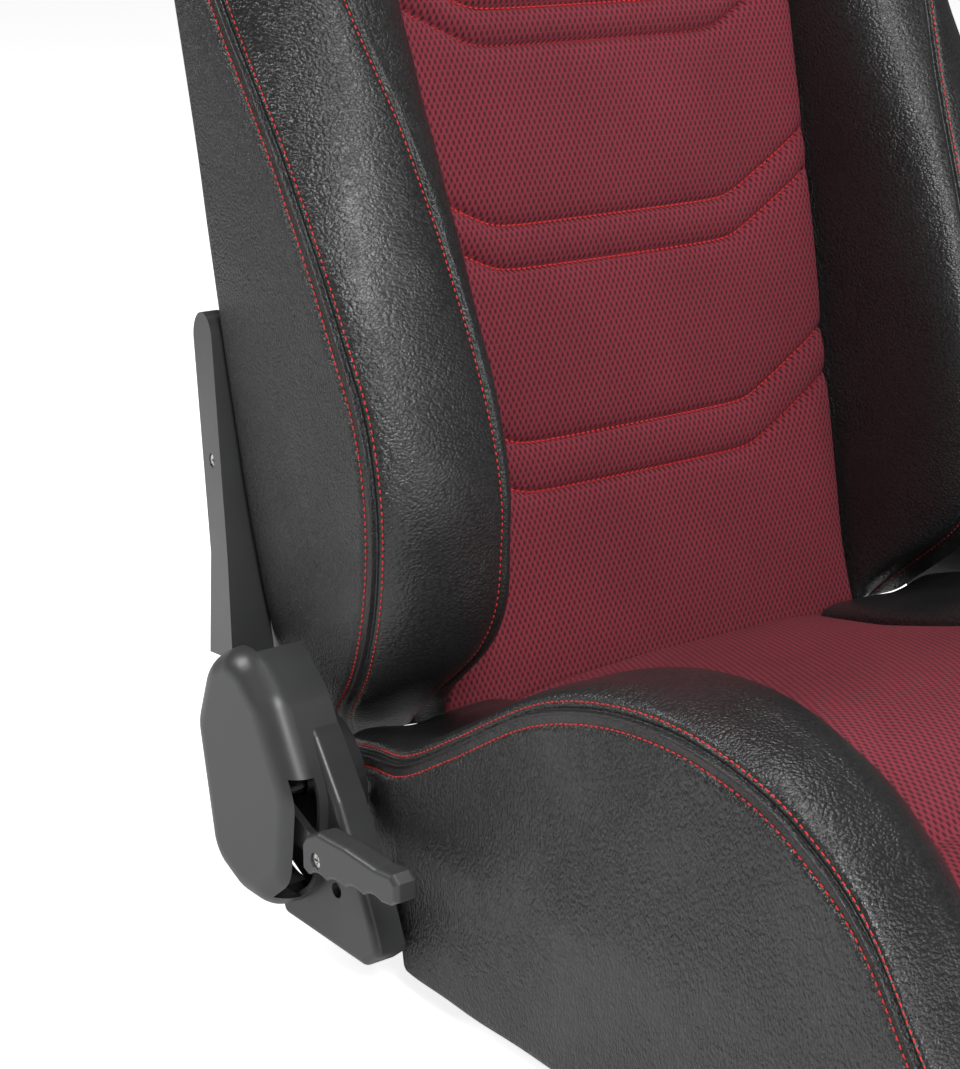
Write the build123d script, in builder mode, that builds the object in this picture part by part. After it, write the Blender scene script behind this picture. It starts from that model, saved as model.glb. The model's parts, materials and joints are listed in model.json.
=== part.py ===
"""Reclining racing seat: box-rail base, disc recliners with a lift lever, padded bolsters and a rear shell.

Frame: +Z up, the seat faces -Y, +X is the occupant's left. The origin is the centre of the four floor bolts,
on the underside of the base rails. Everything is in millimetres.
"""

from build123d import *
from math import cos, pi, radians, sin
import os

os.makedirs("parts", exist_ok=True)

# ---- driving dimensions ------------------------------------------------------------------------------
LEAN = 11.0                      # backrest lean from vertical at rest, degrees
PIVOT = (192.0, 94.0)            # recliner axis: y, z
BACK_Y, BACK_Z = 200.0, 108.0    # foot of the backrest's front face
GAP = 0.6                        # air between neighbouring layers

BOLT_X, BOLT_Y = 200.0, 150.0    # half spacings of the floor bolts
BOLT_R = 4.25                    # clearance hole for an M8 bolt
RAIL_W, RAIL_H, RAIL_T = 32.0, 25.0, 2.5
RAIL_FRONT, RAIL_REAR = -218.0, 205.0
TUBE_R, TUBE_T = 11.0, 2.0

# Layers of the recliner, as distances from the centre plane
ARM_IN, ARM_T = 238.0, 4.0
RING_COVER_T, RING_T = 2.8, 3.8
GUIDE_T = 3.0
PLATE_T = 4.0
RING_IN = ARM_IN + ARM_T
TEETH_IN = RING_IN + RING_COVER_T
GUIDE_IN = TEETH_IN + RING_T + GAP
PLATE_IN = GUIDE_IN + GUIDE_T
PLATE_OUT = PLATE_IN + PLATE_T
LAYER_GAP = 0.3                  # pawls and cams stand this far off the plates beside them
RUN = 0.05                       # radial clearance of every running fit

DISC_R = 38.0                    # recliner ring
RIM_R = 41.0                     # rim of the guide around the ring
TEETH_R, TOOTH_H, TOOTH_COUNT = 28.0, 1.6, 60
GUIDE_R = 25.0
PAWL_HALF, PAWL_FOOT, PAWL_CLEAR = 10.8, 13.5, 0.35
SHAFT_R = 6.0                    # release shaft
CAM_LENGTH, CAM_WIDTH, CAM_ANGLE = 29.6, 13.0, 55.0

LEVER_IN, LEVER_T = 276.0, 4.0   # lever plate, from the centre plane
HANDLE_IN, HANDLE_OUT = 272.5, 286.0
COVER_IN, FLANGE_OUT, BOSS_OUT, WALL = 249.6, 267.0, 288.0, 2.6

PAD_REAR = -33.0                 # rear faces of the backrest pads, behind the panel's face
PANEL_GAP = 3.0                  # between the fabric panel and each bolster, along the panel's edge
SLOT_U, SLOT_V = (36.0, 136.0), (582.0, 622.0)   # harness slot: across, up
BEZEL_W = 6.0                    # width of a harness bezel's lip
TUBE_DEPTH = -49.0               # backrest tube behind the panel's face
HOOP = [(206, 22), (206, 560), (144, 660), (98, 748)]

# Backrest bolster: height, inner x, crest x, crest depth, seam x, seam depth, rear x
BACK_BOLSTER = [
    (-6, 157, 174, -10, 212, -16, 206),
    (10, 156, 177, 14, 228, 6, 222),
    (40, 156, 176, 64, 241, 48, 235),
    (105, 156, 174, 97, 249, 88, 244),
    (168, 156, 176, 100, 250, 93, 246),
    (217, 156, 180, 93, 250, 79, 247),
    (300, 154, 188, 75, 250, 48, 247),
    (381, 151, 203, 55, 251, 12, 248),
    (450, 150, 208, 44, 254, -6, 250),
    (520, 150, 204, 50, 258, 4, 252),
    (575, 150, 192, 50, 252, 10, 244),
    (625, 150, 174, 34, 222, 0, 214),
    (656, 150, 164, 14, 192, -10, 188),
]

# Cushion: y, inner x, inner z, crest x, crest z, seam x, seam z
SEAT_BOLSTER = [
    (192, 121, 107.5, 180, 107, 228, 104),
    (184, 120, 109, 180, 110, 230, 106),
    (156, 116, 116, 190, 121, 236, 114),
    (116, 110, 126, 200, 133, 245, 125),
    (75, 108, 137, 204, 158, 247, 148),
    (7, 119, 153, 206, 197, 247, 188),
    (-62, 134, 163, 207, 214, 247, 205),
    (-111, 145, 154, 208, 212, 247, 203),
    (-158, 158, 140, 209, 197, 247, 188),
    (-199, 172, 122, 211, 166, 247, 157),
    (-226, 182, 104, 213, 126, 246, 117),
    (-258, 190, 72, 214, 80, 243, 70),
    (-284, 194, 30, 210, 34, 232, 28),
]
SKIRT_Z, SKIRT_IN = 12.0, 236.0  # lower edge and inner face of the cushion's skirt
APRON_Y = -222.0                 # inner face of the cushion's front apron
PAD_FLOOR = 58.0                 # underside of the cushion foam
LIP_Y, LIP_Z = 184.0, 101.5      # behind LIP_Y only a lip above LIP_Z is left, over the release shaft

# Rear shell: height, half width, depth of its edge, depth at its centre
SHELL = [
    (12, 230, 36, 92),
    (60, 234, 36, 98),
    (250, 233, 36, 102),
    (330, 236, 36, 104),
    (480, 240, 36, 102),
    (560, 236, 36, 98),
    (620, 206, 36, 96),
    (680, 160, 36, 92),
    (740, 134, 36, 86),
    (796, 118, 36, 70),
]
SHELL_T = 3.5

V_DIR = Vector(0, sin(radians(LEAN)), cos(radians(LEAN)))    # up the backrest
W_DIR = Vector(0, -cos(radians(LEAN)), sin(radians(LEAN)))   # forward from the backrest


def back_point(u, v, w):
    """A point given across, up and forward from the backrest's foot."""
    return Vector(u, BACK_Y, BACK_Z) + V_DIR * v + W_DIR * w


def back_section(v):
    """Plane across the backrest at height v: local x is X, local y runs rearwards."""
    return Plane(origin=back_point(0, v, 0), x_dir=(1, 0, 0), z_dir=V_DIR)


def back_side(x):
    """Plane along the backrest at x: local x is depth, local y is height, normal along -X."""
    return Plane(origin=back_point(x, 0, 0), x_dir=W_DIR, z_dir=(-1, 0, 0))


def back_front(w):
    """Plane facing forwards at depth w: local x is X, local y is height."""
    return Plane(origin=back_point(0, 0, w), x_dir=(1, 0, 0), z_dir=W_DIR)


def side(x):
    """Plane at x with local (Y, Z) and its normal along +X."""
    return Plane.YZ.offset(x)


def save(shape, name):
    """Labels a finished piece and writes its STEP file."""
    shape.label = name
    export_step(shape, f"parts/{name}.step")


HANDS = ((1, "left"), (-1, "right"))
CORNERS = [(sx, sy) for sx in (-1, 1) for sy in (-1, 1)]

# ---- base frame --------------------------------------------------------------------------------------
SIDE_BOLT_Y = (140.0, 176.0)
for s, hand in HANDS:
    with BuildPart() as rail:
        with BuildSketch(Plane.XZ.offset(-RAIL_REAR)):
            with Locations((s * BOLT_X, RAIL_H / 2)):
                Rectangle(RAIL_W, RAIL_H)
                Rectangle(RAIL_W - 2 * RAIL_T, RAIL_H - 2 * RAIL_T, mode=Mode.SUBTRACT)
        extrude(amount=RAIL_REAR - RAIL_FRONT)
        with Locations([(s * BOLT_X, y, RAIL_T) for y in (-BOLT_Y, BOLT_Y)]):
            Cylinder(BOLT_R, 3 * RAIL_T, mode=Mode.SUBTRACT)
        with Locations([(s * BOLT_X, y, RAIL_H) for y in SIDE_BOLT_Y]):
            Cylinder(4.2, 3 * RAIL_T, mode=Mode.SUBTRACT)
    save(rail.part, f"base_rail_{hand}")

NUT_FLAT, NUT_H = 13.0, 6.5
with BuildPart() as weld_nuts:
    with BuildSketch(Plane.XY.offset(RAIL_T)):
        with Locations([(sx * BOLT_X, sy * BOLT_Y) for sx, sy in CORNERS]):
            RegularPolygon(NUT_FLAT / 2, 6, major_radius=False)
            Circle(BOLT_R, mode=Mode.SUBTRACT)
    extrude(amount=NUT_H)
save(weld_nuts.part, "weld_nuts")

FRONT_TUBE = (-205.0, RAIL_H + TUBE_R)
REAR_TUBE = (100.0, RAIL_H + TUBE_R)
TUBE_HALF = BOLT_X + RAIL_W / 2
for name, (y, z) in {"front_cross_tube": FRONT_TUBE, "rear_cross_tube": REAR_TUBE}.items():
    with BuildPart() as tube:
        with BuildSketch(side(-TUBE_HALF)):
            with Locations((y, z)):
                Circle(TUBE_R)
                Circle(TUBE_R - TUBE_T, mode=Mode.SUBTRACT)
        extrude(amount=2 * TUBE_HALF)
    save(tube.part, name)

WIRE_R = 2.0


def zigzag(a, start, end, half, turns):
    """Corner points of a sinuous spring that runs from start to end, swinging half to each side of a."""
    pitch = (end - start) / (2 * turns)
    points = [(a, start)]
    for i in range(2 * turns):
        across = a + (half if i % 2 else -half)
        points += [(across, start + pitch * (i + 0.15)), (across, start + pitch * (i + 0.85))]
    return points + [(a, end)]


with BuildPart() as cushion_springs:
    for x in (-105.0, -35.0, 35.0, 105.0):
        with BuildLine(Plane.XY.offset(RAIL_H + 2 * TUBE_R + WIRE_R)) as path:
            FilletPolyline(*zigzag(x, FRONT_TUBE[0], REAR_TUBE[0], 24.0, 5), radius=7.0)
        with BuildSketch(Plane(origin=path.line @ 0, z_dir=path.line % 0)):
            Circle(WIRE_R)
        sweep(path=path.line)
save(cushion_springs.part, "cushion_springs")

# ---- side plates and recliners -----------------------------------------------------------------------
PLATE_OUTLINE = [(128, RAIL_H), (186, RAIL_H), (186, 38), (218, 54), (226, 80), (160, 110), (150, 88),
                 (130, 46)]
FOOT_IN = BOLT_X - RAIL_W / 2
FOOT_T = 4.0
COVER_SCREW = (142.0, 54.0)      # y, z of the screw that holds a recliner cover


def layer(s, x0, x1):
    """Start offset and signed thickness of a layer between distances x0 and x1 on side s."""
    return side(s * x0), s * (x1 - x0)


def side_plate(s):
    """Recliner bracket: an upright plate whose foot bolts down on the base rail."""
    plane, thick = layer(s, PLATE_IN, PLATE_OUT)
    with BuildPart() as plate:
        with BuildSketch(plane):
            Polygon(*PLATE_OUTLINE, align=None)
            with Locations(PIVOT):
                Circle(DISC_R)
        extrude(amount=thick)
        with BuildSketch(plane):
            with Locations(PIVOT):
                Circle(SHAFT_R + 2)
            with Locations(COVER_SCREW):
                Circle(2.1)
        extrude(amount=thick, mode=Mode.SUBTRACT)
        with Locations((s * (FOOT_IN + PLATE_OUT) / 2, 157, RAIL_H + FOOT_T / 2)):
            Box(PLATE_OUT - FOOT_IN, 58, FOOT_T)
        with Locations([(s * BOLT_X, y, RAIL_H) for y in SIDE_BOLT_Y]):
            Cylinder(4.2, 12, mode=Mode.SUBTRACT)
    return plate.part


def blocks(s):
    """The two blocks between which a pair of pawls slides."""
    inner, depth = layer(s, TEETH_IN + LAYER_GAP, GUIDE_IN)
    with BuildPart() as pair:
        with BuildSketch(inner):
            with Locations(PIVOT):
                Circle(GUIDE_R)
                Rectangle(2 * (PAWL_HALF + RUN), 3 * GUIDE_R, mode=Mode.SUBTRACT)
                Circle(CAM_LENGTH / 2 + 0.7, mode=Mode.SUBTRACT)
        extrude(amount=depth)
    return pair.part


def guide(s):
    """Fixed half of a disc recliner: a dished disc with two blocks that steer the pawls."""
    plane, thick = layer(s, GUIDE_IN, PLATE_IN)
    inner, depth = layer(s, RING_IN, GUIDE_IN)
    with BuildPart() as dish:
        with BuildSketch(plane):
            with Locations(PIVOT):
                Circle(RIM_R)
                Circle(SHAFT_R + RUN, mode=Mode.SUBTRACT)
        extrude(amount=thick)
        with BuildSketch(inner):
            with Locations(PIVOT):
                Circle(RIM_R)
                Circle(DISC_R + RUN, mode=Mode.SUBTRACT)
        extrude(amount=depth)
        add(blocks(s))
    return dish.part


def tooth_circle(r_root, r_tip, phase=0.0):
    """Corner points of a circle of pointed teeth about the pivot."""
    points = []
    for i in range(TOOTH_COUNT):
        for k, r in ((0.0, r_root), (0.5, r_tip)):
            a = 2 * pi * (i + k + phase) / TOOTH_COUNT
            points.append((PIVOT[0] + r * cos(a), PIVOT[1] + r * sin(a)))
    return points


def ring(s):
    """Moving half of a disc recliner: an internally toothed ring with its cover disc."""
    plane, thick = layer(s, TEETH_IN, TEETH_IN + RING_T)
    cover_plane, cover_thick = layer(s, RING_IN, TEETH_IN)
    with BuildPart() as disc:
        with BuildSketch(plane):
            with Locations(PIVOT):
                Circle(DISC_R)
            Polygon(*tooth_circle(TEETH_R + TOOTH_H, TEETH_R), align=None, mode=Mode.SUBTRACT)
        extrude(amount=thick)
        with BuildSketch(cover_plane):
            with Locations(PIVOT):
                Circle(DISC_R)
                Circle(SHAFT_R + 2, mode=Mode.SUBTRACT)
        extrude(amount=cover_thick)
    return disc.part


def pawl(s, up):
    """Sliding pawl with a toothed end, which stands just clear of the ring's teeth."""
    plane, thick = layer(s, TEETH_IN + LAYER_GAP, GUIDE_IN - LAYER_GAP)
    tip = TEETH_R - PAWL_CLEAR
    with BuildPart() as slider:
        with BuildSketch(plane):
            Polygon(*tooth_circle(tip - TOOTH_H, tip, 0.5), align=None)
            with Locations((PIVOT[0], PIVOT[1] + up * (PAWL_FOOT + tip) / 2)):
                Rectangle(2 * PAWL_HALF, tip - PAWL_FOOT, mode=Mode.INTERSECT)
        extrude(amount=thick)
    return slider.part


for s, hand in HANDS:
    save(side_plate(s), f"side_plate_{hand}")
    save(guide(s), f"recliner_guide_{hand}")
    save(ring(s), f"recliner_ring_{hand}")
    save(pawl(s, 1), f"pawl_{hand}_upper")
    save(pawl(s, -1), f"pawl_{hand}_lower")

with BuildPart() as release_shaft:
    right_end = LEVER_IN + LEVER_T + 2
    with BuildSketch(side(-right_end)):
        with Locations(PIVOT):
            Circle(SHAFT_R)
    extrude(amount=right_end + PLATE_OUT + 3)
    for s in (-1, 1):
        plane, thick = layer(s, TEETH_IN + LAYER_GAP, GUIDE_IN - LAYER_GAP)
        with BuildSketch(plane):
            with Locations(PIVOT):
                SlotOverall(CAM_LENGTH, CAM_WIDTH, rotation=CAM_ANGLE)
        extrude(amount=thick)
save(release_shaft.part, "release_shaft")

with BuildPart() as side_bolts:
    with Locations([(s * BOLT_X, y, RAIL_H + FOOT_T + 2.5) for s in (-1, 1) for y in SIDE_BOLT_Y]):
        Cylinder(6.5, 5)
    with Locations([(s * BOLT_X, y, RAIL_H + FOOT_T - 6) for s in (-1, 1) for y in SIDE_BOLT_Y]):
        Cylinder(4.0, 12)
save(side_bolts.part, "side_plate_bolts")

# ---- lever -------------------------------------------------------------------------------------------
LEVER_SCREW = (131.5, 79.5)
HANDLE_TOP = [(144, 71), (144, 85), (140, 90), (130, 95), (106, 96), (80, 95), (67, 96.5)]
HANDLE_TIP = [(62, 93), (62, 84), (68, 80)]
GRIP_START, GRIP_END, GRIPS = (75, 79), (139, 69), 4
HANDLE_EDGE = 2.5

with BuildPart() as lever_plate:
    with BuildSketch(side(-LEVER_IN - LEVER_T)):
        with Locations(PIVOT):
            Circle(13)
        Polygon((192, 107), (150, 89), (138, 86), (112, 90), (112, 83), (124, 76.5), (137, 75), (150, 76),
                (192, 81), align=None)
        with Locations(PIVOT):
            Circle(SHAFT_R, mode=Mode.SUBTRACT)
        with Locations(LEVER_SCREW):
            Circle(2.0, mode=Mode.SUBTRACT)
    extrude(amount=LEVER_T)
save(lever_plate.part, "lever_plate")

with BuildPart() as lever_handle:
    with BuildSketch(side(-HANDLE_OUT)):
        with BuildLine():
            Polyline(*HANDLE_TOP, *HANDLE_TIP, GRIP_START)
            reach = (GRIP_END[0] - GRIP_START[0]) / GRIPS
            drop = (GRIP_END[1] - GRIP_START[1]) / GRIPS
            for i in range(GRIPS):
                start = (GRIP_START[0] + reach * i, GRIP_START[1] + drop * i)
                end = (GRIP_START[0] + reach * (i + 1), GRIP_START[1] + drop * (i + 1))
                ThreePointArc(start, ((start[0] + end[0]) / 2, (start[1] + end[1]) / 2 + 2.2), end)
            Line(GRIP_END, HANDLE_TOP[0])
        make_face()
    extrude(amount=HANDLE_OUT - HANDLE_IN)
    outer_edges = lever_handle.edges().filter_by(GeomType.LINE).filter_by(Axis.X, reverse=True)
    long_edges = outer_edges.filter_by(lambda e: e.center().Z > 82)
    fillet(long_edges, 3.0)
    rims = lever_handle.faces().sort_by(Axis.X)
    fillet(rims[0].edges() + rims[-1].edges(), HANDLE_EDGE)
    with BuildSketch(side(-LEVER_IN - LEVER_T - 0.2)):
        Polygon((146, 89.5), (138, 86.3), (111.8, 90.3), (111.8, 82.7), (124, 76.2), (137, 74.7), (146, 74.9),
                align=None)
    extrude(amount=LEVER_T + 0.4, mode=Mode.SUBTRACT)
    with BuildSketch(side(-HANDLE_OUT)):
        with Locations(LEVER_SCREW):
            Circle(2.0)
    extrude(amount=HANDLE_OUT - LEVER_IN, mode=Mode.SUBTRACT)
    with BuildSketch(side(-HANDLE_OUT)):
        with Locations(LEVER_SCREW):
            Circle(4.2)
    extrude(amount=3.6, mode=Mode.SUBTRACT)
save(lever_handle.part, "lever_handle")


def screw(plane, at, head_r, head_t, shank_r, length, sink):
    """A cross-recess screw that goes along the plane's normal, its head starting sink below the plane."""
    with BuildPart() as fastener:
        with BuildSketch(plane.offset(sink)):
            with Locations(at):
                Circle(head_r)
        extrude(amount=head_t)
        with BuildSketch(plane.offset(sink)):
            with Locations(at):
                Circle(shank_r)
        extrude(amount=length)
        with BuildSketch(plane.offset(sink)):
            with Locations(at):
                Rectangle(1.2 * head_r, 0.35 * head_r)
                Rectangle(0.35 * head_r, 1.2 * head_r)
        extrude(amount=0.5 * head_t, mode=Mode.SUBTRACT)
    return fastener.part


save(screw(side(-HANDLE_OUT), LEVER_SCREW, 3.8, 2.4, 1.9, 8.7, 1.2), "lever_screw")

# ---- recliner covers ---------------------------------------------------------------------------------
BOSS = [(203, 173), (236, 154), (249, 119), (234, 44), (206, 32), (180, 32), (153, 54), (147, 103),
        (174, 150)]
BOSS_CORNER, BOSS_ROUND = 26.0, 15.0
FLANGE = [(172, 141), (161, 130), (141, 102), (125, 72), (112, 46), (106, 31), (119, 20.5), (193, 21),
          (210, 60), (200, 130)]
SLOT_Z0, SLOT_Z1 = 42.0, 113.0   # height of the lever's slot in the boss's front wall
SLOT_X0, SLOT_X1 = 272.0, 284.0
ARM_NOTCH = 275.0                # the arm and its cover enter the boss's top inside this distance


def rounded_outline(points, radius, inset=0.0):
    """A polygon with rounded corners, optionally moved inwards."""
    with BuildSketch() as outline:
        Polygon(*points, align=None)
        fillet(outline.vertices(), radius)
        if inset:
            offset(amount=-inset)
    return outline.sketch


def on_side(sketch, x):
    """Carries a flat sketch onto the side plane at x."""
    return side(x) * sketch


def outer_face(part, s):
    """The face furthest from the centre plane on side s."""
    return part.faces().sort_by(Axis.X)[-1 if s > 0 else 0]


def dome(s, points, corner, edge, x0, x1, inset=0.0):
    """An outline raised from x0 to x1 on side s, its far edge rounded, all moved inwards by inset."""
    with BuildPart() as form:
        add(on_side(rounded_outline(points, corner, inset), s * x0))
        extrude(amount=x1 - inset - x0, dir=(s, 0, 0))
        fillet(outer_face(form, s).edges(), edge - inset)
    return form.part


def recliner_cover(s):
    """Moulded recliner cover: a boss over the discs and a flange that sweeps forward to a foot."""
    screw_tower = side(s * (PLATE_OUT + 0.1)) * (Pos(*COVER_SCREW) * Circle(6))
    screw_bore = side(s * COVER_IN) * (Pos(*COVER_SCREW) * Circle(2.1))
    screw_sink = side(s * (FLANGE_OUT - 6)) * (Pos(*COVER_SCREW) * Circle(4.2))
    with BuildPart() as cover:
        add(dome(s, BOSS, BOSS_CORNER, BOSS_ROUND, COVER_IN, BOSS_OUT))
        add(dome(s, FLANGE, 5.0, 4.0, COVER_IN, FLANGE_OUT))
        add(dome(s, BOSS, BOSS_CORNER, BOSS_ROUND, COVER_IN - 1, BOSS_OUT, WALL), mode=Mode.SUBTRACT)
        add(dome(s, FLANGE, 5.0, 4.0, COVER_IN - 1, FLANGE_OUT, WALL), mode=Mode.SUBTRACT)
        add(screw_tower)
        extrude(amount=FLANGE_OUT - WALL - PLATE_OUT, dir=(s, 0, 0))
        add(screw_bore)
        extrude(amount=FLANGE_OUT - COVER_IN, dir=(s, 0, 0), mode=Mode.SUBTRACT)
        add(screw_sink)
        extrude(amount=7, dir=(s, 0, 0), mode=Mode.SUBTRACT)
        with BuildSketch(back_side(s * COVER_IN)):
            Polygon(*ARM_SWEEP, align=None)
        extrude(amount=ARM_NOTCH - COVER_IN, dir=(s, 0, 0), mode=Mode.SUBTRACT)
        if s < 0:
            slot_y = (BOSS[6][0] - 12, BOSS[6][0] + 30)
            with BuildSketch(side(-SLOT_X1)):
                with Locations(((slot_y[0] + slot_y[1]) / 2, (SLOT_Z0 + SLOT_Z1) / 2)):
                    Rectangle(slot_y[1] - slot_y[0], SLOT_Z1 - SLOT_Z0)
            extrude(amount=SLOT_X1 - SLOT_X0, mode=Mode.SUBTRACT)
    return cover.part


ARM_SWEEP = [(12, 38), (12, 90), (-90, 90), (-90, 30)]
for s, hand in HANDS:
    save(recliner_cover(s), f"recliner_cover_{hand}")

# ---- recliner arms and backrest frame ----------------------------------------------------------------
PIVOT_W = (BACK_Y - PIVOT[0]) * cos(radians(LEAN)) + (PIVOT[1] - BACK_Z) * sin(radians(LEAN))
PIVOT_V = (PIVOT[0] - BACK_Y) * sin(radians(LEAN)) + (PIVOT[1] - BACK_Z) * cos(radians(LEAN))
BAR_W = (-59.0, -37.0)
BAR_TOP = 208.0
ARM_BOLT_V = (96.0, 176.0)
BAR_MID = (BAR_W[0] + BAR_W[1]) / 2
ARM_SCREW_V, ARM_SCREW_X = 150.0, 251.6     # screw of the arm's cover: height, and distance of its head


def recliner_arm(s):
    """Flat arm from the recliner's ring up the rear edge of the backrest."""
    with BuildPart() as arm:
        with BuildSketch(back_side(s * ARM_IN)):
            Polygon((BAR_W[0], BAR_TOP), (BAR_W[1], BAR_TOP), (BAR_W[1], 43), (10, 21), (24, -30), (-30, -20),
                    (BAR_W[0], 30), align=None)
            with Locations((PIVOT_W, PIVOT_V)):
                Circle(DISC_R - 1)
                Circle(SHAFT_R + 2, mode=Mode.SUBTRACT)
            with Locations(*[(BAR_MID, v) for v in ARM_BOLT_V]):
                Circle(4.2, mode=Mode.SUBTRACT)
            with Locations((BAR_MID, ARM_SCREW_V)):
                Circle(2.0, mode=Mode.SUBTRACT)
        extrude(amount=ARM_T, dir=(s, 0, 0))
    return arm.part


COVER_FOOT, COVER_TOP = 46.0, 228.0


COVER_CROWN = 14.0               # radius of the cover's rounded top
SCREW_HEAD = 2.0


def arm_cover_section(v, out_front, out_rear, w_rear, wall):
    """Section of an arm cover at height v: a wedge whose outer face turns back, less its wall."""
    front, rear = -BAR_W[1] - 1 - 2 + wall, w_rear - wall
    return [(ARM_IN + 0.2, front), (out_front - wall, front), (out_rear - wall, rear), (ARM_IN + 0.2, rear)]


# height, outer x at the front, outer x at the rear, depth of the rear edge
ARM_COVER = [(COVER_FOOT, 264, 257, 70), (100, 259, 253, 62), (COVER_TOP, 250.5, 245.5, 62)]


def arm_cover(s):
    """Moulded cover over the arm's bar, open towards the backrest."""
    with BuildPart() as moulding:
        for wall, start, end, mode in ((0, 0, 0, Mode.ADD), (2.0, -1, -COVER_CROWN, Mode.SUBTRACT)):
            for v, out_front, out_rear, w_rear in ARM_COVER:
                shift = start if v == COVER_FOOT else end if v == COVER_TOP else 0
                with BuildSketch(back_section(v + shift)):
                    points = arm_cover_section(v, out_front, out_rear, w_rear, wall)
                    Polygon(*[(s * x, y) for x, y in points], align=None)
            loft(ruled=True, mode=mode)
        with BuildSketch(back_side(s * ARM_IN)):
            with BuildLine():
                Polyline((-62, COVER_TOP - COVER_CROWN), (-80, COVER_TOP - 40), (-80, 0), (-34, 0),
                         (-34, COVER_TOP - COVER_CROWN))
                ThreePointArc((-34, COVER_TOP - COVER_CROWN), (-48, COVER_TOP),
                              (-62, COVER_TOP - COVER_CROWN))
            make_face()
        extrude(amount=40, dir=(s, 0, 0), mode=Mode.INTERSECT)
        with BuildSketch(back_side(s * (ARM_IN + ARM_T + 0.2))):
            with Locations((BAR_MID, ARM_SCREW_V)):
                Circle(5.0)
        extrude(amount=8.5, dir=(s, 0, 0))
        for start, radius in ((ARM_IN, 2.1), (ARM_SCREW_X - SCREW_HEAD, 3.9)):
            with BuildSketch(back_side(s * start)):
                with Locations((BAR_MID, ARM_SCREW_V)):
                    Circle(radius)
            extrude(amount=30, dir=(s, 0, 0), mode=Mode.SUBTRACT)
    return moulding.part


for s, hand in HANDS:
    save(recliner_arm(s), f"recliner_arm_{hand}")
    save(arm_cover(s), f"arm_cover_{hand}")


HOOP_R = 46.0


def hoop_path():
    """Centre line of the backrest tube: up one side, over the head and down the other."""
    points = [(-u, v) for u, v in HOOP] + [(u, v) for u, v in reversed(HOOP)]
    with BuildLine(back_front(TUBE_DEPTH)) as path:
        FilletPolyline(*points, radius=HOOP_R)
    return path.line


LUG_R = 8.0
with BuildPart() as back_frame:
    centre_line = hoop_path()
    with BuildSketch(Plane(origin=centre_line @ 0, z_dir=centre_line % 0)):
        Circle(TUBE_R)
    sweep(path=centre_line)
    for s in (-1, 1):
        with BuildSketch(back_side(s * HOOP[0][0])):
            with Locations(*[(BAR_MID, v) for v in ARM_BOLT_V]):
                Circle(LUG_R)
        extrude(amount=ARM_IN - HOOP[0][0], dir=(s, 0, 0))
    with BuildSketch(Plane(origin=centre_line @ 0, z_dir=centre_line % 0)):
        Circle(TUBE_R - TUBE_T)
    sweep(path=centre_line, mode=Mode.SUBTRACT)
    for s in (-1, 1):
        with BuildSketch(back_side(s * HOOP[0][0])):
            with Locations(*[(BAR_MID, v) for v in ARM_BOLT_V]):
                Circle(4.05)
        extrude(amount=ARM_IN - HOOP[0][0], dir=(s, 0, 0), mode=Mode.SUBTRACT)
save(back_frame.part, "back_frame")

with BuildPart() as arm_bolts:
    for s in (-1, 1):
        for start, length, radius in ((ARM_IN + ARM_T, 3.0, 7.0), (ARM_IN - 16, 16 + ARM_T, 4.0)):
            with BuildSketch(back_side(s * start)):
                with Locations(*[(BAR_MID, v) for v in ARM_BOLT_V]):
                    Circle(radius)
            extrude(amount=length, dir=(s, 0, 0))
save(arm_bolts.part, "arm_bolts")

CROSS_V = 40.0
with BuildPart() as back_cross_tube:
    half = HOOP[0][0] - TUBE_R
    with BuildSketch(back_side(half)):
        with Locations((TUBE_DEPTH, CROSS_V)):
            Circle(TUBE_R)
            Circle(TUBE_R - TUBE_T, mode=Mode.SUBTRACT)
    extrude(amount=2 * half)
save(back_cross_tube.part, "back_cross_tube")

SPRING_R = 1.8
with BuildPart() as back_springs:
    for v in (110.0, 210.0, 310.0, 410.0, 500.0):
        corners = zigzag(0, -HOOP[0][0], HOOP[0][0], 18.0, 5)
        with BuildLine(back_front(TUBE_DEPTH + TUBE_R + SPRING_R)) as path:
            FilletPolyline(*[(u, v + swing) for swing, u in corners], radius=5.0)
        with BuildSketch(Plane(origin=path.line @ 0, z_dir=path.line % 0)):
            Circle(SPRING_R)
        sweep(path=path.line)
save(back_springs.part, "back_springs")

# ---- backrest pads -----------------------------------------------------------------------------------


def slot_outline(grow):
    """Both harness slots as rounded rectangles in the backrest's front plane, grown outwards."""
    mid_u, mid_v = sum(SLOT_U) / 2, sum(SLOT_V) / 2
    wide, tall = SLOT_U[1] - SLOT_U[0] + 2 * grow, SLOT_V[1] - SLOT_V[0] + 2 * grow
    with BuildSketch() as outline:
        with Locations((-mid_u, mid_v), (mid_u, mid_v)):
            RectangleRounded(wide, tall, 12 + grow)
    return outline.sketch


SLOT_FIT = 0.3
PANEL_V0 = -7.0


def panel_outline():
    """Right edge of the fabric panel, from its foot to its head, beside the bolsters' inner edges."""
    low, high = BACK_BOLSTER[3][1] - PANEL_GAP, BACK_BOLSTER[-1][1] - PANEL_GAP
    return [(low, PANEL_V0), (low, BACK_BOLSTER[5][0]), (high, BACK_BOLSTER[8][0]),
            (high, BACK_BOLSTER[-1][0])]


with BuildPart() as backrest_centre:
    right = panel_outline()
    with BuildSketch(back_front(PAD_REAR)):
        Polygon(*right, *[(-u, v) for u, v in reversed(right)], align=None)
    extrude(amount=-PAD_REAR)
    add(back_front(PAD_REAR) * slot_outline(SLOT_FIT + 2))
    extrude(amount=-PAD_REAR, dir=W_DIR, mode=Mode.SUBTRACT)
save(backrest_centre.part, "backrest_centre")


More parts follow.
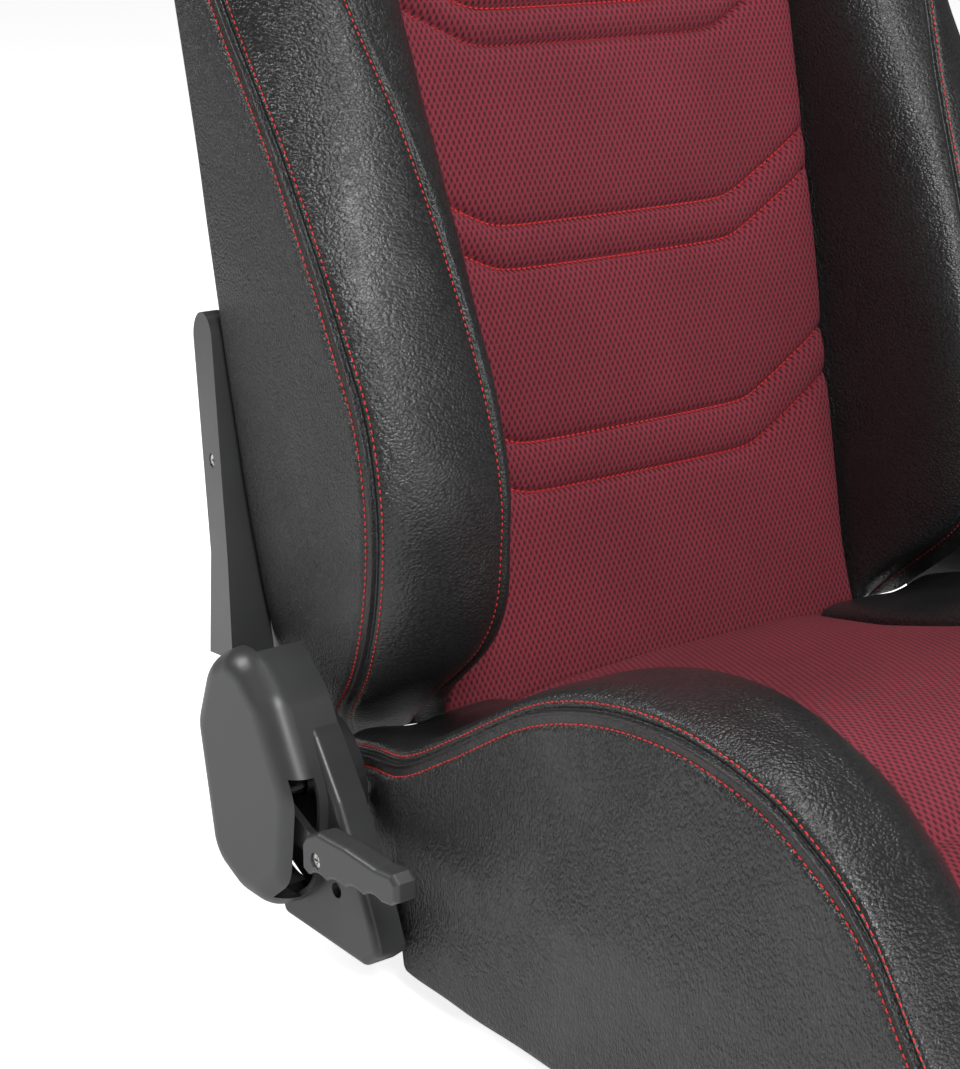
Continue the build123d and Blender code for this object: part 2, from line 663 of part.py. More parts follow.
def pad_loft(sections):
    """Lofts closed outlines, each given as (plane, points)."""
    with BuildPart() as pad:
        for plane, points in sections:
            with BuildSketch(plane):
                Polygon(*points, align=None)
        loft(ruled=True)
    return pad.part


def back_bolster(s):
    """Side bolster of the backrest, from the panel's edge over its crest to the outer seam and side wall."""
    sections = []
    for v, inner, crest, crest_w, seam, seam_w, rear in BACK_BOLSTER:
        middle = ((crest + seam) / 2 + 3, (crest_w + seam_w) / 2 + 6)
        points = [(inner, -PAD_REAR), (inner, 0), (crest, -crest_w), (middle[0], -middle[1]), (seam, -seam_w),
                  (rear, -PAD_REAR)]
        sections.append((back_section(v), [(s * x, y) for x, y in points]))
    return pad_loft(sections)


HEAD_PAD = [(660, 138, 6, 0), (690, 136, 22, 2), (740, 128, 32, 6), (780, 116, 26, 4), (802, 96, 6, -4)]


def head_pad():
    """Head cushion: full in the middle, thinner at its sides."""
    sections = []
    for v, half, front, edge in HEAD_PAD:
        points = [(-half, -PAD_REAR), (-half, -edge), (-0.6 * half, -front), (0.6 * half, -front),
                  (half, -edge),
                  (half, -PAD_REAR)]
        sections.append((back_section(v), points))
    return pad_loft(sections)


save(head_pad(), "head_pad")

BEZEL_REAR = 106.0
with BuildPart() as bezels:
    add(back_front(-BEZEL_REAR) * slot_outline(2))
    extrude(amount=BEZEL_REAR + 3, dir=W_DIR)
    add(back_front(0.3) * slot_outline(2 + BEZEL_W))
    extrude(amount=2.7, dir=W_DIR)
    add(back_front(-BEZEL_REAR) * slot_outline(0))
    extrude(amount=BEZEL_REAR + 3, dir=W_DIR, mode=Mode.SUBTRACT)
for s, hand in HANDS:
    save(back_bolster(s), f"backrest_bolster_{hand}")
    save(bezels.part.solids().sort_by(Axis.X)[-1 if s > 0 else 0], f"harness_bezel_{hand}")

# ---- rear shell --------------------------------------------------------------------------------------


def shell_form(inset, low, high):
    """Solid inside the rear shell's outer face, moved inwards by inset."""
    with BuildPart() as form:
        for i, (v, half, edge, centre) in enumerate(SHELL):
            shift = low if i == 0 else high if i == len(SHELL) - 1 else 0
            wide, deep = half - inset, centre - inset
            with BuildSketch(back_section(v + shift)):
                with BuildLine():
                    rise = deep - edge
                    near, far = edge + 0.5 * rise, edge + 0.88 * rise
                    Spline((-wide, edge), (-0.95 * wide, near), (-0.7 * wide, far), (0, deep),
                           (0.7 * wide, far), (0.95 * wide, near), (wide, edge))
                    Line((wide, edge), (-wide, edge))
                make_face()
        loft(ruled=True)
    return form.part


with BuildPart() as rear_shell:
    add(shell_form(0, 0, 0))
    add(shell_form(SHELL_T, SHELL_T, -SHELL_T), mode=Mode.SUBTRACT)
    add(back_front(-BEZEL_REAR - 10) * slot_outline(2 + SLOT_FIT))
    extrude(amount=BEZEL_REAR, dir=W_DIR, mode=Mode.SUBTRACT)
    for s in (-1, 1):
        with BuildSketch(back_side(s * 200)):
            with Locations(*[(BAR_MID, v) for v in ARM_BOLT_V]):
                Circle(LUG_R + 1)
        extrude(amount=60, dir=(s, 0, 0), mode=Mode.SUBTRACT)
save(rear_shell.part, "rear_shell")

# ---- cushion -----------------------------------------------------------------------------------------
CUSHION_GAP = 0.8


def cushion_floor(part, inner):
    """Cuts the springs' room and the side plates' feet out of a cushion piece, leaving skirt and apron."""
    y_mid, y_len = (APRON_Y + 300) / 2, 300 - APRON_Y
    room = Pos(0, y_mid, PAD_FLOOR / 2) * Box(2 * inner, y_len, PAD_FLOOR)
    feet = Pos(0, 260, PAD_FLOOR / 2) * Box(600, 2 * (260 - 120), PAD_FLOOR)
    under_lip = Pos(0, LIP_Y + 20, LIP_Z / 2) * Box(600, 40, LIP_Z)
    return part - room - feet - under_lip


def cushion_bolster(s):
    """Side bolster of the cushion, with the skirt below it."""
    sections = []
    for y, inner, inner_z, crest, crest_z, seam, seam_z in SEAT_BOLSTER:
        low = SKIRT_Z
        middle = ((crest + seam) / 2 + 4, (crest_z + seam_z) / 2 + 5)
        points = [(inner, low), (inner, inner_z), (crest, crest_z), middle, (seam, seam_z), (seam - 2, low)]
        plane = Plane(origin=(0, y, 0), x_dir=(1, 0, 0), z_dir=(0, -1, 0))
        sections.append((plane, [(s * x, z) for x, z in points]))
    return cushion_floor(pad_loft(sections), SKIRT_IN)


def cushion_centre():
    """Centre cushion: a crowned wedge that falls over the front edge."""
    sections = []
    for y, inner, inner_z, *_ in SEAT_BOLSTER:
        half = inner - CUSHION_GAP
        plane = Plane(origin=(0, y, 0), x_dir=(1, 0, 0), z_dir=(0, -1, 0))
        sections.append((plane, [(-half, SKIRT_Z), (-half, inner_z), (half, inner_z), (half, SKIRT_Z)]))
    return cushion_floor(pad_loft(sections), SKIRT_IN)


for s, hand in HANDS:
    save(cushion_bolster(s), f"cushion_bolster_{hand}")
save(cushion_centre(), "cushion_centre")

# ---- small fasteners ---------------------------------------------------------------------------------


def outward_plane(s, x):
    """Side plane at distance x whose normal points inwards on side s: local x is -s times Y."""
    return Plane(origin=(s * x, 0, 0), x_dir=(0, -s, 0), z_dir=(-s, 0, 0))


cover_screws = []
for s, hand in HANDS:
    at = (-s * COVER_SCREW[0], COVER_SCREW[1])
    cover_screws.append(screw(outward_plane(s, FLANGE_OUT), at, 3.8, 2.4, 2.0, 12.0, 3.5))
save(Compound(children=cover_screws), "cover_screws")

arm_screws = []
arm_screw_at = back_point(0, ARM_SCREW_V, BAR_MID)
for s, hand in HANDS:
    at = (-s * arm_screw_at.Y, arm_screw_at.Z)
    length = ARM_SCREW_X - ARM_IN - 0.4
    arm_screws.append(screw(outward_plane(s, ARM_SCREW_X), at, 3.5, SCREW_HEAD, 1.9, length, 0))
save(Compound(children=arm_screws), "arm_cover_screws")
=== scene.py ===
"""Looks for the reclining racing seat: sewn leather and fabric pads, moulded covers and plain studio light.

Everything is in metres in the row frame: +Z up, the seat faces -Y. Shapes are written in millimetres and turned
into metres by MM. The backrest's own axes are u across, v up along the lean and w forwards from the fabric's face.
"""

import bmesh
import bpy
import json
import math
import numpy as np
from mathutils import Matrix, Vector


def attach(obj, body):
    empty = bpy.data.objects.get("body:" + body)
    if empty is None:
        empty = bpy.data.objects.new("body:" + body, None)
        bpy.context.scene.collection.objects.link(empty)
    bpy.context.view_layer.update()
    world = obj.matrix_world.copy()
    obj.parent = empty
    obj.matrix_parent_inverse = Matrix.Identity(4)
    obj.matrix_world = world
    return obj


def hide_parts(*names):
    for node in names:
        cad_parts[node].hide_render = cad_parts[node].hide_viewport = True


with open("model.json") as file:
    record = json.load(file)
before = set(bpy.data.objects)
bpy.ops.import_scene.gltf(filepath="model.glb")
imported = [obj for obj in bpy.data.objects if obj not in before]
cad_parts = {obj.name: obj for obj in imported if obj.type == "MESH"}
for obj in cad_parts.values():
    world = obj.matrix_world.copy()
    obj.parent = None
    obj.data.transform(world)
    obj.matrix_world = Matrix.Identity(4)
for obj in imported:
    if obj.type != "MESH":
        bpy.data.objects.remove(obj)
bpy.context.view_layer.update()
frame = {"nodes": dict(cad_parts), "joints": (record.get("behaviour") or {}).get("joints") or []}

MM = 0.001
LEAN = math.radians(11.0)
JOINTS = {j["name"]: j for j in frame["joints"]}
PIVOT = np.array(JOINTS["recline"]["pos_m"]) / MM
FOOT = PIVOT + np.array((0.0, 8.0, 14.0))    # foot of the backrest's front face, in mm
V_DIR = np.array((0.0, math.sin(LEAN), math.cos(LEAN)))
W_DIR = np.array((0.0, -math.cos(LEAN), math.sin(LEAN)))
PAD_REAR = -33.0


def back(u, v, w):
    """Row-frame point in metres for backrest coordinates in millimetres."""
    u, v, w = np.broadcast_arrays(np.asarray(u, float), np.asarray(v, float), np.asarray(w, float))
    flat = np.stack([u, np.zeros_like(u), np.zeros_like(u)], -1)
    return (flat + FOOT + v[..., None] * V_DIR + w[..., None] * W_DIR) * MM


def row(x, y, z):
    """Row-frame point in metres for millimetres."""
    x, y, z = np.broadcast_arrays(np.asarray(x, float), np.asarray(y, float), np.asarray(z, float))
    return np.stack([x, y, z], -1) * MM


def curve(table, column, at):
    """Smooth value of one column of a station table."""
    order = sorted(table)
    x = np.array([r[0] for r in order], float)
    y = np.array([r[column] for r in order], float)
    at = np.clip(np.asarray(at, float), x[0], x[-1])
    slope = np.gradient(y, x)
    i = np.clip(np.searchsorted(x, at, side="right") - 1, 0, len(x) - 2)
    step = x[i + 1] - x[i]
    t = (at - x[i]) / step
    return ((1 + 2 * t) * (1 - t) ** 2 * y[i] + t * (1 - t) ** 2 * step * slope[i]
            + t * t * (3 - 2 * t) * y[i + 1] + t * t * (t - 1) * step * slope[i + 1])


def smoothstep(a, b, x):
    """0 below a, 1 above b, smooth between."""
    t = np.clip((x - a) / (b - a), 0, 1)
    return t * t * (3 - 2 * t)


# ---- meshes ---------------------------------------------------------------------------------------------


def link(name, mesh, material):
    """Puts a mesh in the scene as one smooth-shaded object."""
    obj = bpy.data.objects.new(name, mesh)
    bpy.context.scene.collection.objects.link(obj)
    mesh.materials.append(material)
    mesh.polygons.foreach_set("use_smooth", [True] * len(mesh.polygons))
    return obj


def grid_faces(rows, cols, wrap=False):
    """Quads of a grid of vertices; wrap joins the last column to the first."""
    faces = []
    for i in range(rows - 1):
        for j in range(cols if wrap else cols - 1):
            k = (j + 1) % cols
            faces.append((i * cols + j, i * cols + k, (i + 1) * cols + k, (i + 1) * cols + j))
    return faces


def tube_mesh(name, points, material, cap_rings=3, uv=None):
    """Closed form from rings of points (rings x around x 3). Each end closes on its ring's middle."""
    rings, around = points.shape[:2]
    layers = [points]
    for end in (0, -1):
        ring = points[end]
        middle = ring.mean(0)
        for k in range(1, cap_rings + 1):
            layers.append((middle + (ring - middle) * (1 - k / (cap_rings + 1)))[None])
        layers.append(middle[None, None].repeat(1, 1))
    low = [l for l in layers[1:1 + cap_rings]][::-1]
    high = [l for l in layers[2 + cap_rings:2 + 2 * cap_rings]]
    stack = np.concatenate(low + [points] + high, 0)
    verts = stack.reshape(-1, 3)
    faces = grid_faces(len(stack), around, wrap=True)
    first, last = len(verts), len(verts) + 1
    verts = np.concatenate([verts, points[0].mean(0)[None], points[-1].mean(0)[None]], 0)
    base = (len(stack) - 1) * around
    for j in range(around):
        k = (j + 1) % around
        faces.append((first, k, j))
        faces.append((last, base + j, base + k))
    mesh = bpy.data.meshes.new(name)
    mesh.from_pydata(verts.tolist(), [], faces)
    mesh.validate()
    obj = link(name, mesh, material)
    face_outwards(obj)
    return obj


def face_outwards(obj):
    """Makes a closed mesh's normals point outwards."""
    bm = bmesh.new()
    bm.from_mesh(obj.data)
    bmesh.ops.recalc_face_normals(bm, faces=bm.faces)
    bm.to_mesh(obj.data)
    bm.free()


def apply_modifiers(obj):
    """Bakes an object's modifiers into its mesh."""
    depsgraph = bpy.context.evaluated_depsgraph_get()
    mesh = bpy.data.meshes.new_from_object(obj.evaluated_get(depsgraph))
    old = obj.data
    obj.modifiers.clear()
    obj.data = mesh
    bpy.data.meshes.remove(old)
    return obj


def subdivide(obj, levels=1):
    """Adds subdivision and bakes it."""
    mod = obj.modifiers.new("subdivision", "SUBSURF")
    mod.levels = mod.render_levels = levels
    return apply_modifiers(obj)


# ---- materials ------------------------------------------------------------------------------------------


def new_material(name):
    """Empty node material with its principled shader."""
    mat = bpy.data.materials.new(name)
    mat.use_nodes = True
    nodes = mat.node_tree.nodes
    return mat, nodes, mat.node_tree.links, nodes["Principled BSDF"]


def node(nodes, kind, **values):
    """Makes a shader node; keys with a dot-free name are attributes, in_ keys are inputs."""
    made = nodes.new(kind)
    for key, value in values.items():
        if key.startswith("in_"):
            made.inputs[key[3:].replace("_", " ")].default_value = value
        else:
            setattr(made, key, value)
    return made


def ramp(nodes, stops):
    """Colour ramp from (position, colour) pairs."""
    made = nodes.new("ShaderNodeValToRGB")
    elements = made.color_ramp.elements
    while len(elements) < len(stops):
        elements.new(0.5)
    for element, (position, colour) in zip(elements, stops):
        element.position = position
        element.color = (*colour, 1)
    return made


def maths(nodes, links, operation, a, b=None, c=None):
    """One maths node; inputs are sockets or numbers."""
    made = nodes.new("ShaderNodeMath")
    made.operation = operation
    for i, value in enumerate((a, b, c)):
        if value is None:
            continue
        if isinstance(value, (int, float)):
            made.inputs[i].default_value = value
        else:
            links.new(value, made.inputs[i])
    return made.outputs[0]


def leather(name, colour, rough, cell, depth, wrinkle, grain):
    """Grained leather: rounded pebbles between shallow creases with painted shade in them, pores, soft wrinkles and
    worn sheen.

    grain stretches the pebbles along each axis of the row frame.
    """
    mat, nodes, links, shader = new_material(name)
    coord = nodes.new("ShaderNodeTexCoord")
    warp = node(nodes, "ShaderNodeTexNoise", in_Scale=120.0, in_Detail=2.0)
    links.new(coord.outputs["Object"], warp.inputs["Vector"])
    moved = node(nodes, "ShaderNodeVectorMath", operation="MULTIPLY_ADD")
    moved.inputs[1].default_value = (0.0035, 0.0035, 0.0035)
    links.new(warp.outputs["Color"], moved.inputs[0])
    links.new(coord.outputs["Object"], moved.inputs[2])
    mapping = nodes.new("ShaderNodeMapping")
    mapping.inputs["Scale"].default_value = grain
    links.new(moved.outputs[0], mapping.inputs["Vector"])
    cells = node(nodes, "ShaderNodeTexVoronoi", feature="SMOOTH_F1", in_Scale=1.0 / cell, in_Smoothness=0.35)
    links.new(mapping.outputs["Vector"], cells.inputs["Vector"])
    small = node(nodes, "ShaderNodeTexVoronoi", feature="SMOOTH_F1", in_Scale=2.3 / cell, in_Smoothness=0.4)
    links.new(mapping.outputs["Vector"], small.inputs["Vector"])
    folds = node(nodes, "ShaderNodeTexNoise", in_Scale=0.32 / cell, in_Detail=5.0, in_Roughness=0.6,
                 in_Distortion=0.6)
    links.new(mapping.outputs["Vector"], folds.inputs["Vector"])
    area = node(nodes, "ShaderNodeTexNoise", in_Scale=17.0, in_Detail=2.0)
    links.new(coord.outputs["Object"], area.inputs["Vector"])
    patch = node(nodes, "ShaderNodeMapRange", in_From_Min=0.35, in_From_Max=0.65, in_To_Min=0.55,
                 in_To_Max=1.25)
    links.new(area.outputs["Fac"], patch.inputs["Value"])
    pebble = maths(nodes, links, "MULTIPLY", cells.outputs["Distance"], -1.0)
    pebble = maths(nodes, links, "MULTIPLY_ADD", small.outputs["Distance"], -0.35, pebble)
    pebble = maths(nodes, links, "MULTIPLY", pebble, patch.outputs["Result"])
    height = maths(nodes, links, "MULTIPLY_ADD", folds.outputs["Fac"], wrinkle, pebble)
    bump = node(nodes, "ShaderNodeBump", in_Strength=1.0, in_Distance=depth)
    links.new(height, bump.inputs["Height"])
    links.new(bump.outputs["Normal"], shader.inputs["Normal"])
    tone = node(nodes, "ShaderNodeTexNoise", in_Scale=14.0, in_Detail=3.0)
    links.new(coord.outputs["Object"], tone.inputs["Vector"])
    shade = ramp(nodes, [(0.25, tuple(0.85 * c for c in colour)), (0.75, tuple(1.15 * c for c in colour))])
    links.new(tone.outputs["Fac"], shade.inputs[0])
    # Painted shade: the colour darkens to 0.6 of its tone in the creases between the pebbles, where the cell
    # distance is large.
    crease = node(nodes, "ShaderNodeMapRange", in_From_Min=0.25, in_From_Max=0.75, in_To_Min=1.0, in_To_Max=0.6)
    links.new(cells.outputs["Distance"], crease.inputs["Value"])
    crease_shaded = node(nodes, "ShaderNodeVectorMath", operation="SCALE")
    links.new(shade.outputs["Color"], crease_shaded.inputs[0])
    links.new(crease.outputs["Result"], crease_shaded.inputs["Scale"])
    links.new(crease_shaded.outputs[0], shader.inputs["Base Color"])
    gloss = maths(nodes, links, "MULTIPLY_ADD", tone.outputs["Fac"], 0.14, rough - 0.07)
    links.new(gloss, shader.inputs["Roughness"])
    shader.inputs["Specular IOR Level"].default_value = 0.5
    return mat


def fabric(name):
    """Maroon knitted mesh: staggered dark eyelets between glossy yarns, laid out by arc length."""
    mat, nodes, links, shader = new_material(name)
    uv = nodes.new("ShaderNodeUVMap")
    split = nodes.new("ShaderNodeSeparateXYZ")
    links.new(uv.outputs["UV"], split.inputs[0])
    noise = node(nodes, "ShaderNodeTexNoise", in_Scale=60.0, in_Detail=2.0)
    links.new(uv.outputs["UV"], noise.inputs["Vector"])
    drift = maths(nodes, links, "MULTIPLY_ADD", noise.outputs["Fac"], 0.0009, -0.00045)
    u = maths(nodes, links, "ADD", split.outputs["X"], drift)
    v = maths(nodes, links, "ADD", split.outputs["Y"], drift)
    across = maths(nodes, links, "COSINE", maths(nodes, links, "MULTIPLY", u, 2 * math.pi / (3.7 * MM)))
    along = maths(nodes, links, "COSINE", maths(nodes, links, "MULTIPLY", v, 2 * math.pi / (6.6 * MM)))
    cells = maths(nodes, links, "MULTIPLY", across, along)
    yarn_u = maths(nodes, links, "SINE", maths(nodes, links, "MULTIPLY", maths(nodes, links, "ADD", u, v),
                                               2 * math.pi / (0.85 * MM)))
    yarn_v = maths(nodes, links, "SINE", maths(nodes, links, "MULTIPLY", maths(nodes, links, "SUBTRACT", u, v),
                                               2 * math.pi / (0.85 * MM)))
    yarn = maths(nodes, links, "MULTIPLY", yarn_u, yarn_v)
    height = maths(nodes, links, "MULTIPLY_ADD", cells, -0.5, 0.5)
    eyelet = ramp(nodes, [(0.0, (0.035, 0.010, 0.020)), (0.28, (0.100, 0.015, 0.028)),
                          (0.48, (0.275, 0.030, 0.046)), (1.0, (0.330, 0.037, 0.055))])
    links.new(height, eyelet.inputs[0])
    patch = node(nodes, "ShaderNodeTexNoise", in_Scale=9.0, in_Detail=4.0)
    links.new(uv.outputs["UV"], patch.inputs["Vector"])
    worn = ramp(nodes, [(0.3, (0.86,) * 3), (0.7, (1.1,) * 3)])
    links.new(patch.outputs["Fac"], worn.inputs[0])
    colour = node(nodes, "ShaderNodeMix", data_type="RGBA", blend_type="MULTIPLY")
    colour.inputs["Factor"].default_value = 1.0
    links.new(eyelet.outputs["Color"], colour.inputs["A"])
    links.new(worn.outputs["Color"], colour.inputs["B"])
    links.new(colour.outputs["Result"], shader.inputs["Base Color"])
    relief = maths(nodes, links, "MULTIPLY_ADD", yarn, 0.22, height)
    bump = node(nodes, "ShaderNodeBump", in_Strength=1.0, in_Distance=0.0009)
    links.new(relief, bump.inputs["Height"])
    links.new(bump.outputs["Normal"], shader.inputs["Normal"])
    shader.inputs["Roughness"].default_value = 0.72
    shader.inputs["Specular IOR Level"].default_value = 0.28
    shader.inputs["Sheen Weight"].default_value = 0.06
    shader.inputs["Sheen Roughness"].default_value = 0.4
    shader.inputs["Sheen Tint"].default_value = (0.9, 0.4, 0.45, 1)
    return mat


def plastic(name, colour, rough, grain):
    """Moulded plastic with a fine spark-eroded grain and faint handling marks."""
    mat, nodes, links, shader = new_material(name)
    coord = nodes.new("ShaderNodeTexCoord")
    fine = node(nodes, "ShaderNodeTexNoise", in_Scale=1800.0, in_Detail=3.0)
    links.new(coord.outputs["Object"], fine.inputs["Vector"])
    bump = node(nodes, "ShaderNodeBump", in_Strength=0.5, in_Distance=grain)
    links.new(fine.outputs["Fac"], bump.inputs["Height"])
    links.new(bump.outputs["Normal"], shader.inputs["Normal"])
    marks = node(nodes, "ShaderNodeTexNoise", in_Scale=22.0, in_Detail=5.0, in_Roughness=0.6)
    links.new(coord.outputs["Object"], marks.inputs["Vector"])
    shade = ramp(nodes, [(0.3, tuple(0.92 * c for c in colour)), (0.7, tuple(1.08 * c for c in colour))])
    links.new(marks.outputs["Fac"], shade.inputs[0])
    links.new(shade.outputs["Color"], shader.inputs["Base Color"])
    gloss = maths(nodes, links, "MULTIPLY_ADD", marks.outputs["Fac"], 0.14, rough - 0.07)
    links.new(gloss, shader.inputs["Roughness"])
    return mat


def metal(name, colour, rough, stretch=1.0):
    """Plated or painted steel with fine directional scratches and slightly uneven roughness."""
    mat, nodes, links, shader = new_material(name)
    coord = nodes.new("ShaderNodeTexCoord")
    mapping = nodes.new("ShaderNodeMapping")
    mapping.inputs["Scale"].default_value = (stretch, 1.0, 1.0)
    links.new(coord.outputs["Object"], mapping.inputs["Vector"])
    scratches = node(nodes, "ShaderNodeTexNoise", in_Scale=700.0, in_Detail=4.0)
    links.new(mapping.outputs["Vector"], scratches.inputs["Vector"])
    bump = node(nodes, "ShaderNodeBump", in_Strength=0.35, in_Distance=0.0001)
    links.new(scratches.outputs["Fac"], bump.inputs["Height"])
    links.new(bump.outputs["Normal"], shader.inputs["Normal"])
    shader.inputs["Base Color"].default_value = (*colour, 1)
    gloss = maths(nodes, links, "MULTIPLY_ADD", scratches.outputs["Fac"], 0.2, rough - 0.1)
    links.new(gloss, shader.inputs["Roughness"])
    return mat, shader


def thread(name):
    """Bright red polyester thread with a slight twist."""
    mat, nodes, links, shader = new_material(name)
    coord = nodes.new("ShaderNodeTexCoord")
    twist = node(nodes, "ShaderNodeTexNoise", in_Scale=2500.0, in_Detail=1.0)
    links.new(coord.outputs["Object"], twist.inputs["Vector"])
    shade = ramp(nodes, [(0.3, (0.42, 0.012, 0.010)), (0.7, (0.80, 0.030, 0.022))])
    links.new(twist.outputs["Fac"], shade.inputs[0])
    links.new(shade.outputs["Color"], shader.inputs["Base Color"])
    shader.inputs["Roughness"].default_value = 0.5
    return mat


LEATHER_FRONT = leather("leather_coarse", (0.022, 0.022, 0.0225), 0.31, 0.0016, 0.0005, 0.4, (0.8, 1.0, 1.1))
LEATHER_SIDE = leather("leather_fine", (0.026, 0.026, 0.0265), 0.34, 0.0013, 0.0008, 0.6, (1.0, 1.1, 0.8))
LEATHER_WALL = leather("leather_streaked", (0.023, 0.023, 0.0235), 0.30, 0.0017, 0.0009, 0.5, (1.0, 1.25, 0.7))
LEATHER_SEAM = leather("leather_seam", (0.020, 0.020, 0.0205), 0.36, 0.0014, 0.0004, 0.6, (1.0, 1.0, 1.0))
FABRIC = fabric("fabric_maroon")
COVER = plastic("cover_charcoal", (0.040, 0.0405, 0.0415), 0.36, 0.00005)
SHELL = plastic("shell_black", (0.016, 0.016, 0.017), 0.36, 0.0001)
THREAD = thread("thread_red")
PAINT, paint_shader = metal("frame_paint", (0.022, 0.022, 0.024), 0.42)
paint_shader.inputs["Coat Weight"].default_value = 0.25
STEEL, steel_shader = metal("bright_steel", (0.66, 0.66, 0.64), 0.30, 0.2)
steel_shader.inputs["Metallic"].default_value = 1.0

# ---- stitches -------------------------------------------------------------------------------------------
STITCH_PITCH, STITCH_LENGTH, THREAD_R = 3.6 * MM, 2.5 * MM, 0.42 * MM


def stitch_row(name, path, normals, body, pitch=STITCH_PITCH, length=STITCH_LENGTH, radius=THREAD_R):
    """A row of separate stitches along a path of points, each a short bead sunk at both ends."""
    path, normals = np.asarray(path, float), np.asarray(normals, float)
    gaps = np.linalg.norm(np.diff(path, axis=0), axis=1)
    run = np.concatenate([[0], np.cumsum(gaps)])
    count = int(run[-1] / pitch)
    sides, rings = 6, 7
    verts, faces = [], []
    angles = 2 * np.pi * np.arange(sides) / sides
    for n in range(count):
        along = n * pitch + pitch * 0.5 + (np.linspace(-0.5, 0.5, rings)) * length
        along = np.clip(along, 0, run[-1])
        centre = np.stack([np.interp(along, run, path[:, k]) for k in range(3)], 1)
        up = np.stack([np.interp(along, run, normals[:, k]) for k in range(3)], 1)
        up /= np.linalg.norm(up, axis=1)[:, None] + 1e-12
        axis = np.gradient(centre, axis=0)
        axis /= np.linalg.norm(axis, axis=1)[:, None] + 1e-12
        side = np.cross(axis, up)
        t = np.linspace(-1, 1, rings)
        lift = radius * (0.55 - 1.3 * t ** 4)
        girth = radius * np.sqrt(np.clip(1 - 0.88 * t ** 6, 0, 1))
        base = len(verts)
        for r in range(rings):
            ring = (centre[r] + up[r] * lift[r] + girth[r] * (np.cos(angles)[:, None] * side[r]
                                                                + np.sin(angles)[:, None] * up[r]))
            verts.extend(ring.tolist())
        for r in range(rings - 1):
            for s in range(sides):
                k = (s + 1) % sides
                faces.append((base + r * sides + s, base + r * sides + k, base + (r + 1) * sides + k,
                              base + (r + 1) * sides + s))
        faces.append(tuple(base + s for s in range(sides))[::-1])
        faces.append(tuple(base + (rings - 1) * sides + s for s in range(sides)))
    mesh = bpy.data.meshes.new(name)
    mesh.from_pydata(verts, [], faces)
    obj = link(name, mesh, THREAD)
    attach(obj, body)
    return obj


# ---- padded shapes --------------------------------------------------------------------------------------


def bezier(points, count=60):
    """Points along one Bezier curve; each control point may be an array with one row per section."""
    t = np.linspace(0, 1, count)
    n = len(points) - 1
    total = 0
    for k, p in enumerate(points):
        weight = math.comb(n, k) * (1 - t) ** (n - k) * t ** k
        total = total + weight[None, :, None] * np.asarray(p, float)[:, None, :]
    return total


def soft_noise(a, b, scale, seed):
    """Smooth random field between about -1 and 1, from a few sine waves."""
    rng = np.random.default_rng(seed)
    total = 0
    for _ in range(9):
        angle = rng.uniform(0, 2 * np.pi)
        f = rng.uniform(0.6, 1.6) / scale
        total = total + np.sin(2 * np.pi * f * (a * np.cos(angle) + b * np.sin(angle)) + rng.uniform(0, 6.28))
    return total / 4.5


def double_seam(d, side):
    """Height of a sewn outer seam d mm from its fold: raised fold, groove beside it, two sunken thread rows."""
    fold = 1.3 * np.exp(-(d / 1.3) ** 2)
    groove = -2.0 * np.exp(-((d - side * 2.3) / 1.2) ** 2)
    strip = -1.5 * (1 - smoothstep(5.0, 8.5, np.abs(d)))
    rows = -0.5 * np.exp(-((np.abs(d) - 6.2) / 0.9) ** 2)
    return fold + groove + strip + rows


def single_seam(d, row_at):
    """Height of an edge seam: a narrow valley and one sunken thread row beside it."""
    return -1.9 * np.exp(-(d / 1.2) ** 2) - 0.6 * np.exp(-((d - row_at) / 1.0) ** 2)


SEWN = 1000    # mark of the points inside a seam's strip
SEAM_SIDE = [0.5, 1.1, 1.8, 2.6, 3.4, 4.4, 5.2, 6, 6.8, 7.6, 9, 11, 14]
SEAM_STEPS = np.array([-d for d in SEAM_SIDE[::-1]] + [0] + SEAM_SIDE)


